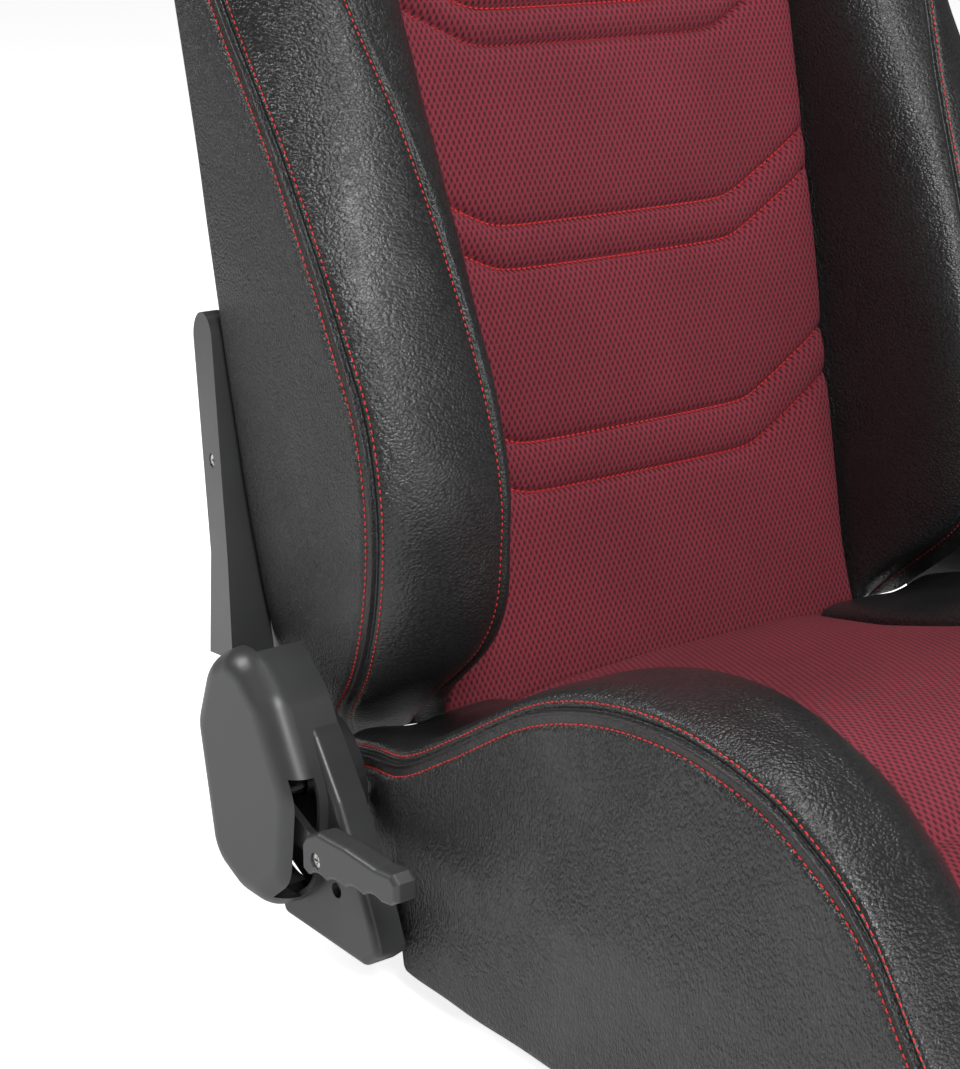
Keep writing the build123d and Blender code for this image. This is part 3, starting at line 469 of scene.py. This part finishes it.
def padded_tube(name, place, keys, shapes, seams, counts, materials, body, replaced, end=6.0, rough=0.3):
    """Closed sewn form made of sections.

    place(i, x, y) puts section points in the row frame. shapes are the section's curves, each sections x points x 2,
    head to tail. seams gives, for each joint between curves, None or (height function, row offsets). counts gives
    the points along each curve, and materials the material of each curve. Returns the object and its thread rows.
    """
    lengths = [np.linalg.norm(np.diff(c, axis=1), axis=2) for c in shapes]
    columns, normals, kinds, rows = [], [], [], {}
    for c, (curve_points, gaps) in enumerate(zip(shapes, lengths)):
        run = np.concatenate([np.zeros((len(gaps), 1)), np.cumsum(gaps, 1)], 1)
        total = run[:, -1:]
        start_seam, end_seam = seams[c], seams[(c + 1) % len(shapes)]
        first = np.abs(SEAM_STEPS[SEAM_STEPS >= 0]) if start_seam else np.array([0.0])
        last = np.abs(SEAM_STEPS[SEAM_STEPS < 0])[::-1] if end_seam else np.array([])
        low = first[-1] * np.minimum(1, 0.32 * total / 14.0) if start_seam else 0 * total
        high = total - (14.0 * np.minimum(1, 0.32 * total / 14.0) if end_seam else 0 * total)
        shrink = np.minimum(1, 0.32 * total / 14.0)
        t = np.linspace(0, 1, counts[c] + 2)[None, 1:-1]
        s = np.concatenate([first[None] * shrink, low + (high - low) * t, total - last[::-1][None] * shrink], 1)
        step = 0.5
        point, before, after = (
            np.stack([np.stack([np.interp(np.clip(s[i] + o, 0, total[i, 0]), run[i], curve_points[i, :, k])
                                for k in range(2)], 1) for i in range(len(s))]) for o in (0, -step, step))
        tangent = after - before
        tangent /= np.linalg.norm(tangent, axis=2)[..., None] + 1e-9
        normal = np.stack([-tangent[..., 1], tangent[..., 0]], 2)
        height = np.zeros_like(s)
        if start_seam:
            height += start_seam[0](s)
        if end_seam:
            height += end_seam[0](s - total)
        columns.append(point)
        normals.append(normal)
        seam_gap = np.full(s.shape[1], 99.0)
        if start_seam:
            seam_gap[:len(first)] = first
        if end_seam:
            seam_gap[-len(last):] = np.minimum(seam_gap[-len(last):], last[::-1])
        kinds += [SEWN if gap < 5.0 else c for gap in seam_gap]
        rows[c] = (s, total, height)
    point = np.concatenate(columns, 1)
    normal = np.concatenate(normals, 1)
    smooth = (np.roll(normal, 1, 1) + 2 * normal + np.roll(normal, -1, 1))
    smooth /= np.linalg.norm(smooth, axis=2)[..., None] + 1e-9
    height = np.concatenate([rows[c][2] for c in range(len(shapes))], 1)
    index = np.arange(point.shape[0])
    wave = soft_noise(keys[:, None], np.arange(point.shape[1])[None] * 3.0, 55.0, len(name)) * rough
    calm = np.array([0.25 if k == len(shapes) - 1 else 1.0 for k in kinds])[None]
    moved = point + smooth * (height + wave * calm)[..., None]
    stack = [place(i, moved[i, :, 0], moved[i, :, 1]) for i in index]
    points = np.stack(stack)
    points = round_ends(points, end)
    obj = tube_mesh(name, points, materials[0], cap_rings=4)
    for extra in materials[1:] + [LEATHER_SEAM]:
        if extra.name not in [m.name for m in obj.data.materials]:
            obj.data.materials.append(extra)
    names = [m.name for m in obj.data.materials]
    around = points.shape[1]
    order = [names.index((LEATHER_SEAM if k == SEWN else materials[k]).name) for k in kinds]
    slots = []
    for polygon in obj.data.polygons:
        columns_used = [v % around for v in polygon.vertices if v < len(obj.data.vertices) - 2]
        slots.append(order[min(columns_used) if max(columns_used) - min(columns_used) < around / 2
                           else max(columns_used)])
    obj.data.polygons.foreach_set("material_index", slots)
    subdivide(obj)
    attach(obj, body)
    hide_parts(replaced)
    threads = []
    for c, seam in enumerate(seams):
        if not seam:
            continue
        for offset in seam[1]:
            at = c if offset >= 0 else (c - 1) % len(shapes)
            s, total, _ = rows[at]
            shrink = np.minimum(1, 0.32 * total / 14.0)
            want = (offset * shrink if offset >= 0 else total + offset * shrink)[:, 0]
            base = sum(rows[k][0].shape[1] for k in range(at))
            pick = np.array([int(np.argmin(np.abs(s[i] - want[i]))) for i in index])
            path = np.stack([place(i, *moved[i, base + pick[i]]) for i in index])
            tip = np.stack([place(i, *(moved[i, base + pick[i]] + smooth[i, base + pick[i]])) for i in index])
            threads.append((path, tip - path))
    return obj, threads


def round_ends(points, depth):
    """Adds shrinking sections beyond both ends, so a form closes with a rounded edge."""
    if depth <= 0:
        return points
    result = [points]
    for first, second in ((0, 1), (-1, -2)):
        ring = points[first]
        middle = ring.mean(0)
        out = (points[first] - points[second]).mean(0)
        out /= np.linalg.norm(out) + 1e-12
        size = np.linalg.norm(ring - middle, axis=1)[:, None]
        extra = []
        for t in (0.35, 0.65, 0.88, 1.0):
            angle = t * np.pi / 2
            inset = depth * MM * (1 - np.cos(angle))
            smaller = (ring - middle) * np.clip(1 - inset / size, 0.2, 1)
            extra.append(middle + smaller + out * depth * MM * np.sin(angle))
        result = ([np.stack(extra[::-1])] + result) if first == 0 else (result + [np.stack(extra)])
    return np.concatenate(result, 0)


# Sections of a backrest bolster: v, inner u, crest u, crest w, seam u, seam w, rear u.
BACK_BOLSTER = [
    (-6, 157, 174, -10, 212, -16, 206), (10, 156, 177, 14, 228, 6, 222), (40, 156, 176, 64, 241, 48, 235),
    (105, 156, 174, 97, 249, 88, 244), (168, 156, 176, 100, 250, 93, 246), (217, 156, 180, 93, 250, 79, 247),
    (300, 154, 188, 75, 250, 48, 247), (381, 151, 203, 55, 251, 12, 248), (450, 150, 208, 44, 254, -6, 250),
    (520, 150, 204, 50, 258, 4, 252), (575, 150, 192, 50, 252, 10, 244), (625, 150, 174, 34, 222, 0, 214),
    (656, 150, 164, 14, 192, -10, 188)]
PANEL_FOOT, PANEL_HEAD, PANEL_GAP = -11.0, 656.0, 1.2


def backrest_bolster(s, hand):
    """Side bolster of the backrest: inner wall, coarse front, double outer seam and side wall."""
    v = np.concatenate([np.arange(-2, 652, 4.0), [652.0]])
    ix, cx, cw, sx, sw, rx = (curve(BACK_BOLSTER, k, v) for k in range(1, 7))
    low = 0 * v + PAD_REAR
    pair = lambda x, w: np.stack([x, w], 1)
    wall = bezier([pair(ix, low), pair(ix, low + 12), pair(ix, -8 + 0 * v), pair(ix, -2 + 0 * v)], 20)
    rise = np.maximum(cw + 2, 6)
    inner = bezier([pair(ix, -2 + 0 * v), pair(ix + 1, 0.45 * rise), pair(ix - 2 + 0.1 * (cx - ix), 0.96 * rise),
                    pair(cx, cw)], 60)
    over = np.hypot(sx - cx, sw - cw)
    front = bezier([pair(cx, cw), pair(cx + 0.24 * over, cw + 0.13 * over),
                    pair(sx - 0.14 * over, sw + 0.27 * over), pair(sx, sw)], 80)
    drop = sw - low
    side = bezier([pair(sx, sw), pair(sx + 1.5, sw - 0.10 * drop), pair(rx + 5, low + 0.4 * drop),
                   pair(rx, low)], 60)
    rear = bezier([pair(rx, low), pair(0.7 * rx + 0.3 * ix, low), pair(0.3 * rx + 0.7 * ix, low),
                   pair(ix, low)], 30)
    place = lambda i, x, w: back(s * x, v[i], w)
    obj, threads = padded_tube(
        f"backrest_bolster_{hand}_cover", place, v, [wall, inner, front, side, rear],
        [None, None, (lambda d: single_seam(d, 3.4), (3.4,)), (lambda d: double_seam(d, -1), (-6.0, 6.0)), None],
        [4, 18, 16, 14, 8], [LEATHER_SIDE, LEATHER_FRONT, LEATHER_FRONT, LEATHER_SIDE, LEATHER_SIDE],
        "backrest", f"backrest_bolster_{hand}")
    for k, (path, normal) in enumerate(threads):
        stitch_row(f"backrest_thread_{hand}_{k}", path, normal, "backrest")
    return obj


# Sections of a cushion bolster: Y, inner x, inner z, crest x, crest z, seam x, seam z.
SEAT_BOLSTER = [
    (192, 121, 107.5, 180, 107, 228, 104), (184, 120, 109, 180, 110, 230, 106),
    (156, 116, 116, 190, 121, 236, 114), (116, 110, 126, 200, 133, 245, 125),
    (75, 108, 137, 204, 158, 247, 148), (7, 119, 153, 206, 197, 247, 188), (-62, 134, 163, 207, 214, 247, 205),
    (-111, 145, 154, 208, 212, 247, 203), (-158, 158, 140, 209, 197, 247, 188), (-199, 172, 122, 211, 166, 247, 157),
    (-226, 182, 104, 213, 126, 246, 117), (-258, 190, 72, 214, 80, 243, 70), (-284, 194, 30, 210, 34, 232, 28)]
SKIRT_Z, SKIRT_IN, PAD_FLOOR, APRON_Y = 12.0, 236.0, 58.0, -222.0
LIP_Y, LIP_Z, REAR_Y = 184.0, 101.8, 192.0


def cushion_stations():
    """Y of each cushion section, with close pairs where the room below it steps."""
    steps = [APRON_Y + 0.6, APRON_Y - 0.6, 120.6, 119.4, LIP_Y + 0.2, LIP_Y - 1.0]
    y = np.concatenate([[REAR_Y, REAR_Y - 3.5], np.arange(LIP_Y - 4, -282, -4.0), [-284.0], steps])
    y = np.array(sorted(set(np.round(y, 2)), reverse=True))
    keep = [k for k, a in enumerate(y) if a in np.round(steps, 2) or min(abs(a - b) for b in steps) > 1.2]
    return y[keep]


def cushion_bolster(s, hand):
    """Side bolster of the cushion: rolled top, double outer seam, side wall and skirt."""
    y = cushion_stations()
    ix, iz, cx, cz, sx, sz = (curve(SEAT_BOLSTER, k, y) for k in range(1, 7))
    floor = np.where(y < APRON_Y, SKIRT_Z, np.where(y > LIP_Y, LIP_Z, PAD_FLOOR))
    hem = np.where(y > LIP_Y, LIP_Z, np.where(y > 120, PAD_FLOOR, SKIRT_Z))
    pair = lambda x, z: np.stack([x + 0 * y, z + 0 * y], 1)
    wall = bezier([pair(ix, floor), pair(ix, 0.6 * floor + 0.4 * iz), pair(ix, iz - 8), pair(ix, iz - 3)], 20)
    span = cx - ix
    inner = bezier([pair(ix, iz - 3), pair(ix + 2, iz + 5 + 0.15 * (cz - iz)), pair(cx - 0.55 * span, cz + 2),
                    pair(cx, cz)], 60)
    over = sx - cx
    front = bezier([pair(cx, cz), pair(cx + 0.35 * over, cz), pair(sx - 0.12 * over, sz + 0.34 * over),
                    pair(sx, sz)], 50)
    drop = sz - hem
    side = bezier([pair(sx, sz), pair(sx + 1.5, sz - 0.15 * drop), pair(sx + 3.5, hem + 0.45 * drop),
                   pair(sx - 2, hem)], 60)
    low_x = np.minimum(SKIRT_IN, sx - 6)
    hem_edge = bezier([pair(sx - 2, hem), pair(0.7 * (sx - 2) + 0.3 * low_x, hem),
                       pair(0.3 * (sx - 2) + 0.7 * low_x, hem), pair(low_x, hem)], 12)
    step = bezier([pair(low_x, hem), pair(low_x, 0.7 * hem + 0.3 * floor), pair(low_x, 0.3 * hem + 0.7 * floor),
                   pair(low_x, floor + 0.01)], 12)
    under = bezier([pair(low_x, floor + 0.01), pair(0.7 * low_x + 0.3 * ix, floor),
                    pair(0.3 * low_x + 0.7 * ix, floor), pair(ix, floor)], 30)
    place = lambda i, x, z: row(s * x, y[i], z)
    obj, threads = padded_tube(
        f"cushion_bolster_{hand}_cover", place, y, [wall, inner, front, side, hem_edge, step, under],
        [None, None, None, (lambda d: double_seam(d, -1), (-6.0, 6.0)), None, None, None],
        [4, 26, 10, 26, 3, 4, 8],
        [LEATHER_SIDE, LEATHER_FRONT, LEATHER_FRONT, LEATHER_WALL, LEATHER_WALL, LEATHER_WALL, LEATHER_WALL],
        "seat_base", f"cushion_bolster_{hand}", end=2.0)
    for k, (path, normal) in enumerate(threads):
        stitch_row(f"cushion_thread_{hand}_{k}", path, normal, "seat_base")
    front_run = y < -40
    edge = np.stack([row(s * (ix + 4.5), y, iz + 2.6)], 0)[0][front_run]
    lift = np.tile(np.array([[-0.35 * s, 0.0, 1.0]]), (front_run.sum(), 1))
    stitch_row(f"cushion_border_thread_{hand}", edge, lift, "seat_base")
    return obj


# ---- fabric panels --------------------------------------------------------------------------------------


def inflate(obj, pinned, pressure, cap):
    """Swells a closed fabric form by cloth pressure. Pinned points stay, and no point moves over cap mm."""
    rest = np.zeros(len(obj.data.vertices) * 3)
    obj.data.vertices.foreach_get("co", rest)
    rest = rest.reshape(-1, 3)
    group = obj.vertex_groups.new(name="pinned")
    group.add([int(i) for i in np.flatnonzero(pinned)], 1.0, "REPLACE")
    mod = obj.modifiers.new("cloth", "CLOTH")
    mod.settings.vertex_group_mass = "pinned"
    mod.settings.use_pressure = True
    mod.settings.uniform_pressure_force = pressure
    mod.settings.effector_weights.gravity = 0
    mod.settings.tension_stiffness = 25
    mod.settings.compression_stiffness = 25
    mod.settings.bending_stiffness = 2.0
    mod.collision_settings.use_collision = False
    scene = bpy.context.scene
    for frame_number in range(1, 21):
        scene.frame_set(frame_number)
    apply_modifiers(obj)
    scene.frame_set(1)
    obj.vertex_groups.clear()
    moved = np.zeros(len(rest) * 3)
    obj.data.vertices.foreach_get("co", moved)
    shift = moved.reshape(-1, 3) - rest
    size = np.linalg.norm(shift, axis=1)[:, None]
    limit = cap * MM
    shift *= limit * np.tanh(size / limit) / (size + 1e-12)
    obj.data.vertices.foreach_set("co", (rest + shift).ravel())
    obj.data.update()


def sheet_form(name, front, rear, keep, uv, material):
    """Closed form from a front and a rear grid of points with faces left out where keep is False."""
    rows, cols = front.shape[:2]
    faces, count = [], rows * cols
    edges = {}
    for i in range(rows - 1):
        for j in range(cols - 1):
            if not keep[i, j]:
                continue
            quad = (i * cols + j, i * cols + j + 1, (i + 1) * cols + j + 1, (i + 1) * cols + j)
            faces.append(quad)
            faces.append(tuple(q + count for q in quad[::-1]))
            for k in range(4):
                a, b = quad[k], quad[(k + 1) % 4]
                edges[(a, b)] = edges.get((a, b), 0) + 1
    for a, b in edges:
        if (b, a) not in edges:
            faces.append((b, a, a + count, b + count))
    verts = np.concatenate([front.reshape(-1, 3), rear.reshape(-1, 3)], 0)
    used = sorted({v for f in faces for v in f})
    remap = {old: new for new, old in enumerate(used)}
    mesh = bpy.data.meshes.new(name)
    mesh.from_pydata(verts[used].tolist(), [], [tuple(remap[v] for v in f) for f in faces])
    layer = mesh.uv_layers.new(name="UVMap")
    flat = np.concatenate([uv.reshape(-1, 2), uv.reshape(-1, 2)], 0)[used]
    loops = np.zeros(len(mesh.loops), int)
    mesh.loops.foreach_get("vertex_index", loops)
    layer.data.foreach_set("uv", flat[loops].ravel())
    obj = link(name, mesh, material)
    face_outwards(obj)
    return obj, np.array(used)


# Height of each pair of sewn channels in the middle of the backrest.
CHANNELS = [(104, 132), (228, 252), (349, 369), (468, 488)]
CHANNEL_HALF, CHANNEL_RISE = 86.0, 0.53


def channel_line(v0, u):
    """Height of a sewn channel that starts at v0 in the middle and turns up towards both edges."""
    over = np.abs(u) - CHANNEL_HALF
    return v0 + CHANNEL_RISE * (np.sqrt(over ** 2 + 9.0 ** 2) + over) / 2


def channel_distance(u, v):
    """Shortest distance from a point of the panel to the sewn channels."""
    slope = CHANNEL_RISE * smoothstep(-12, 12, np.abs(u) - CHANNEL_HALF)
    gaps = [np.abs(v - channel_line(v0, u)) / np.sqrt(1 + slope ** 2) for pair in CHANNELS for v0 in pair]
    return np.min(gaps, 0)


SLOT_U, SLOT_V, SLOT_R = (36.0, 136.0), (582.0, 622.0), 12.0


def slot_distance(u, v):
    """Distance outside the harness slots' outline, negative inside."""
    qx = np.abs(np.abs(u) - sum(SLOT_U) / 2) - (SLOT_U[1] - SLOT_U[0]) / 2 + SLOT_R
    qy = np.abs(v - sum(SLOT_V) / 2) - (SLOT_V[1] - SLOT_V[0]) / 2 + SLOT_R
    return np.hypot(np.maximum(qx, 0), np.maximum(qy, 0)) + np.minimum(np.maximum(qx, qy), 0) - SLOT_R


def panel_half(v):
    """Half width of the fabric panel at height v."""
    return curve(BACK_BOLSTER, 1, v) - PANEL_GAP


def backrest_panel():
    """Quilted fabric centre of the backrest."""
    t = np.linspace(-1, 1, 116)
    v = np.arange(PANEL_FOOT, PANEL_HEAD + 0.1, 3.0)
    vv, tt = np.meshgrid(v, t, indexing="ij")
    half = panel_half(vv)
    uu = tt * half
    # Rows of the grid follow the channels, so each channel runs along a row of points.
    bend = channel_line(0.0, uu)
    follow = smoothstep(0, 90, vv) * (1 - smoothstep(505, 575, vv))
    vv = vv + bend * follow
    slot = slot_distance(uu, vv)
    edge = half - np.abs(uu)
    near = channel_distance(uu, vv)
    border = np.minimum(edge, PANEL_HEAD - vv)
    w = (-5.0 * smoothstep(-11, 50, vv) * np.exp(-border / 6.0) - 1.5 * np.exp(-(vv - PANEL_FOOT) / 2.0)
         + 1.5 * (1 - np.exp(-near / 9.0)) - 0.4)
    flat_slot = smoothstep(6, 13, slot)
    w = w * flat_slot - 0.4 * (1 - flat_slot)
    front = back(uu, vv, w)
    rear = back(uu, vv, PAD_REAR)
    mid_slot = (slot[:-1, :-1] + slot[1:, :-1] + slot[:-1, 1:] + slot[1:, 1:]) / 4
    keep = mid_slot > 3.6
    uv = np.stack([uu, vv], -1) * MM
    obj, used = sheet_form("backrest_centre_cover", front, rear, keep, uv, FABRIC)
    count = uu.size
    flat = lambda a: np.concatenate([a.ravel(), a.ravel()])[used]
    is_rear = used >= count
    pinned = is_rear | (flat(near) < 1.6) | (flat(border) < 1.0) | (flat(vv) < 6) | (flat(slot) < 10)
    inflate(obj, pinned, 5.0, 5.5)
    subdivide(obj)
    carve_channels(obj)
    return obj


def carve_channels(obj):
    """Presses the sewn channels into the swollen panel."""
    co = np.zeros(len(obj.data.vertices) * 3)
    obj.data.vertices.foreach_get("co", co)
    co = co.reshape(-1, 3)
    local = co / MM - FOOT
    v, w = local @ V_DIR, local @ W_DIR
    near = channel_distance(local[:, 0], v)
    on_front = smoothstep(-20, -12, w)
    inside = smoothstep(0, 3, panel_half(v) - np.abs(local[:, 0]))
    press = -(2.4 * np.exp(-(near / 1.1) ** 2) + 3.4 * np.exp(-near / 4.0)) * on_front * inside
    wave = 0.35 * soft_noise(local[:, 0], v, 60.0, 3) * on_front * smoothstep(0, 12, near)
    co += (press + wave)[:, None] * MM * W_DIR
    obj.data.vertices.foreach_set("co", co.ravel())
    obj.data.update()


def surface_points(obj, start, direction, reach=0.2):
    """Where rays from start along direction meet the object, with the surface's normals."""
    hits, normals = [], []
    for p in start:
        found, place, normal, _ = obj.ray_cast(Vector(p), Vector(direction), distance=reach)
        if found:
            hits.append(np.array(place))
            normals.append(np.array(normal))
    return np.array(hits), np.array(normals)


def on_panel(panel):
    """Stitches along every channel of the backrest."""
    for k, (low, high) in enumerate(CHANNELS):
        for n, v0 in enumerate((low, high)):
            u = np.arange(-151.0, 151.1, 1.5)
            v = channel_line(v0, u)
            inside = np.abs(u) < panel_half(v) - 1.5
            u, v = u[inside], v[inside]
            start = back(u, v, 40.0)
            path, normals = surface_points(panel, start, -W_DIR)
            stitch_row(f"channel_thread_{k}_{n}", path, normals, "backrest", length=2.6 * MM, radius=0.55 * MM)


def cushion_centre():
    """Fabric centre of the cushion: a crowned wedge that rolls over the front edge."""
    y = cushion_stations()
    top = curve(SEAT_BOLSTER, 2, y)
    half = curve(SEAT_BOLSTER, 1, y) - 0.8
    t = np.linspace(-1, 1, 90)
    tt, yy = np.meshgrid(t, y)
    uu = tt * half[:, None]
    edge = half[:, None] - np.abs(uu)
    profile = np.concatenate([[0], np.cumsum(np.hypot(np.diff(y), np.diff(top)))])
    run = np.repeat(profile[:, None], len(t), 1)
    slope = np.gradient(top, y)[:, None]
    nz, ny = 1 / np.sqrt(1 + slope ** 2), -slope / np.sqrt(1 + slope ** 2)
    crown = 5.0 * (1 - tt ** 2) ** 0.8
    dip = -3.0 * np.exp(-edge / 6.0)
    crease_y = -130.0 + 3.0 * np.sin(uu / 55.0)
    gap = np.abs(yy - crease_y)
    crease = -4.5 * np.exp(-gap / 4.0) - 1.5 * np.exp(-(gap / 14.0) ** 2)
    folds = 0.5 * soft_noise(uu, run, 26.0, 11) * np.exp(-(gap / 45.0) ** 2)
    folds += 0.5 * soft_noise(uu, run, 90.0, 5)
    height = crown + dip + crease + folds - 1.0
    fade = smoothstep(0, 10, run[-1, 0] - run)
    height = height * fade - 1.5 * (1 - fade)
    front = row(uu, yy + ny * height, top[:, None] + nz * height)
    floor = np.where(yy < APRON_Y, SKIRT_Z, np.where(yy > LIP_Y, LIP_Z, PAD_FLOOR))
    rear = row(uu, yy, floor)
    keep = np.ones((len(y) - 1, len(t) - 1), bool)
    uv = np.stack([uu, run], -1) * MM
    obj, used = sheet_form("cushion_centre_cover", front, rear, keep, uv, FABRIC)
    flat = lambda a: np.concatenate([a.ravel(), a.ravel()])[used]
    pinned = (used >= uu.size) | (flat(gap) < 2.2) | (flat(edge) < 1.5) | (flat(run) < 2)
    pinned |= flat(run[-1, 0] - run) < 2
    inflate(obj, pinned, 4.0, 6.0)
    subdivide(obj)
    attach(obj, "seat_base")
    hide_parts("cushion_centre")
    return obj


# Sections of the head pad: v, half width, w of its front, w of its seam.
HEAD_PAD = [(660, 138, 6, 0), (690, 136, 22, 2), (740, 128, 32, 6), (780, 116, 26, 4), (802, 96, 6, -4)]


def head_pad():
    """Head cushion: crowned leather form with an edge seam all round its front."""
    v = np.concatenate([np.arange(661, 801, 4.0), [801.0]])
    half, front_w, edge_w = (curve(HEAD_PAD, k, v) for k in (1, 2, 3))
    low = 0 * v + PAD_REAR
    pair = lambda x, w: np.stack([x, w], 1)
    left = bezier([pair(-half, low), pair(-half - 1, low + 12), pair(-half - 1, edge_w - 8),
                   pair(-half, edge_w)], 24)
    face = bezier([pair(-half, edge_w), pair(-0.82 * half, edge_w + 0.9 * (front_w - edge_w)),
                   pair(-0.4 * half, front_w + 2), pair(0 * half, front_w + 1), pair(0.4 * half, front_w + 2),
                   pair(0.82 * half, edge_w + 0.9 * (front_w - edge_w)), pair(half, edge_w)], 120)
    right = bezier([pair(half, edge_w), pair(half + 1, edge_w - 8), pair(half + 1, low + 12),
                    pair(half, low)], 24)
    rear = bezier([pair(half, low), pair(0.4 * half, low), pair(-0.4 * half, low), pair(-half, low)], 30)
    place = lambda i, x, w: back(x, v[i], w)
    seam = lambda side: (lambda d: double_seam(d, side))
    obj, threads = padded_tube(
        "head_pad_cover", place, v, [left, face, right, rear],
        [None, (seam(-1), (6.0,)), (seam(1), (-6.0,)), None], [6, 40, 6, 20],
        [LEATHER_SIDE, LEATHER_FRONT, LEATHER_SIDE, LEATHER_SIDE], "backrest", "head_pad", end=8.0)
    for k, (path, normal) in enumerate(threads):
        stitch_row(f"head_thread_{k}", path, normal, "backrest")
    return obj


for side, hand in ((1, "left"), (-1, "right")):
    backrest_bolster(side, hand)
    cushion_bolster(side, hand)
panel = backrest_panel()
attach(panel, "backrest")
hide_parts("backrest_centre")
on_panel(panel)
cushion_centre()
head_pad()

# ---- hard parts -----------------------------------------------------------------------------------------
LOOKS = {"frame_paint": PAINT, "bright_steel": STEEL, "cover_plastic": COVER, "shell_plastic": SHELL,
         "black_leather": LEATHER_SIDE, "red_fabric": FABRIC}
FINISH = {
    "cover_plastic": ("recliner_cover", "arm_cover", "lever_handle"),
    "shell_plastic": ("rear_shell", "harness_bezel"),
    "bright_steel": ("cover_screws", "lever_screw", "arm_cover_screws", "bolts", "pawl", "shaft", "ring", "nuts",
                     "springs"),
}
for name, cad in frame["nodes"].items():
    look = PAINT
    for slot_name, words in FINISH.items():
        if any(word in name for word in words):
            look = LOOKS[slot_name]
    cad.data.materials.clear()
    cad.data.materials.append(look)

# ---- floor, light and camera ----------------------------------------------------------------------------
floor_mesh = bpy.data.meshes.new("floor")
floor_mesh.from_pydata([(-9, -9, -0.002), (9, -9, -0.002), (9, 9, -0.002), (-9, 9, -0.002)], [], [(0, 1, 2, 3)])
pale, pale_nodes, pale_links, pale_shader = new_material("pale_floor")
pale_shader.inputs["Base Color"].default_value = (0.86, 0.86, 0.86, 1)
pale_shader.inputs["Roughness"].default_value = 0.8
pale_shader.inputs["Emission Color"].default_value = (1, 1, 1, 1)
seen = pale_nodes.new("ShaderNodeLightPath")
pale_links.new(maths(pale_nodes, pale_links, "MULTIPLY", seen.outputs["Is Camera Ray"], 0.85),
               pale_shader.inputs["Emission Strength"])
floor = link("floor", floor_mesh, pale)

world = bpy.data.worlds.new("studio")
bpy.context.scene.world = world
world.use_nodes = True
backdrop = world.node_tree.nodes["Background"]
path = world.node_tree.nodes.new("ShaderNodeLightPath")
strength = world.node_tree.nodes.new("ShaderNodeMapRange")
strength.inputs["To Min"].default_value = 0.09
strength.inputs["To Max"].default_value = 1.0
world.node_tree.links.new(path.outputs["Is Camera Ray"], strength.inputs["Value"])
world.node_tree.links.new(strength.outputs["Result"], backdrop.inputs["Strength"])
backdrop.inputs["Color"].default_value = (1, 1, 1, 1)


def area_light(name, at, aim, size, power):
    """Soft rectangular studio light."""
    light = bpy.data.lights.new(name, "AREA")
    light.shape = "RECTANGLE"
    light.size, light.size_y = size
    light.energy = power
    obj = bpy.data.objects.new(name, light)
    bpy.context.scene.collection.objects.link(obj)
    obj.location = at
    obj.rotation_euler = (Vector(aim) - Vector(at)).to_track_quat("-Z", "Y").to_euler()
    return obj


area_light("key_light", (-1.0, -1.8, 2.2), (0.0, 0.05, 0.30), (0.8, 1.2), 62)
area_light("front_light", (0.3, -2.4, 1.0), (0.0, 0.1, 0.35), (1.6, 1.0), 22)
area_light("left_light", (-1.6, 1.6, 1.9), (-0.2, 0.15, 0.35), (0.7, 1.3), 38)
area_light("top_light", (0.4, 0.1, 2.7), (0.0, 0.0, 0.3), (1.2, 1.2), 30)

camera_data = bpy.data.cameras.new("camera")
camera_data.lens = 78.66
camera_data.sensor_width = 36.0
camera_data.clip_start = 0.05
camera = bpy.data.objects.new("camera", camera_data)
bpy.context.scene.collection.objects.link(camera)
azimuth, elevation = math.radians(-36.82), math.radians(17.4615)
away = Vector((math.sin(azimuth) * math.cos(elevation), -math.cos(azimuth) * math.cos(elevation),
               math.sin(elevation)))
camera.location = (-0.8493, -0.7563, 0.5778)
camera.rotation_euler = (-away).to_track_quat("-Z", "Y").to_euler()
bpy.context.scene.camera = camera
bpy.context.scene.view_settings.view_transform = "Standard"
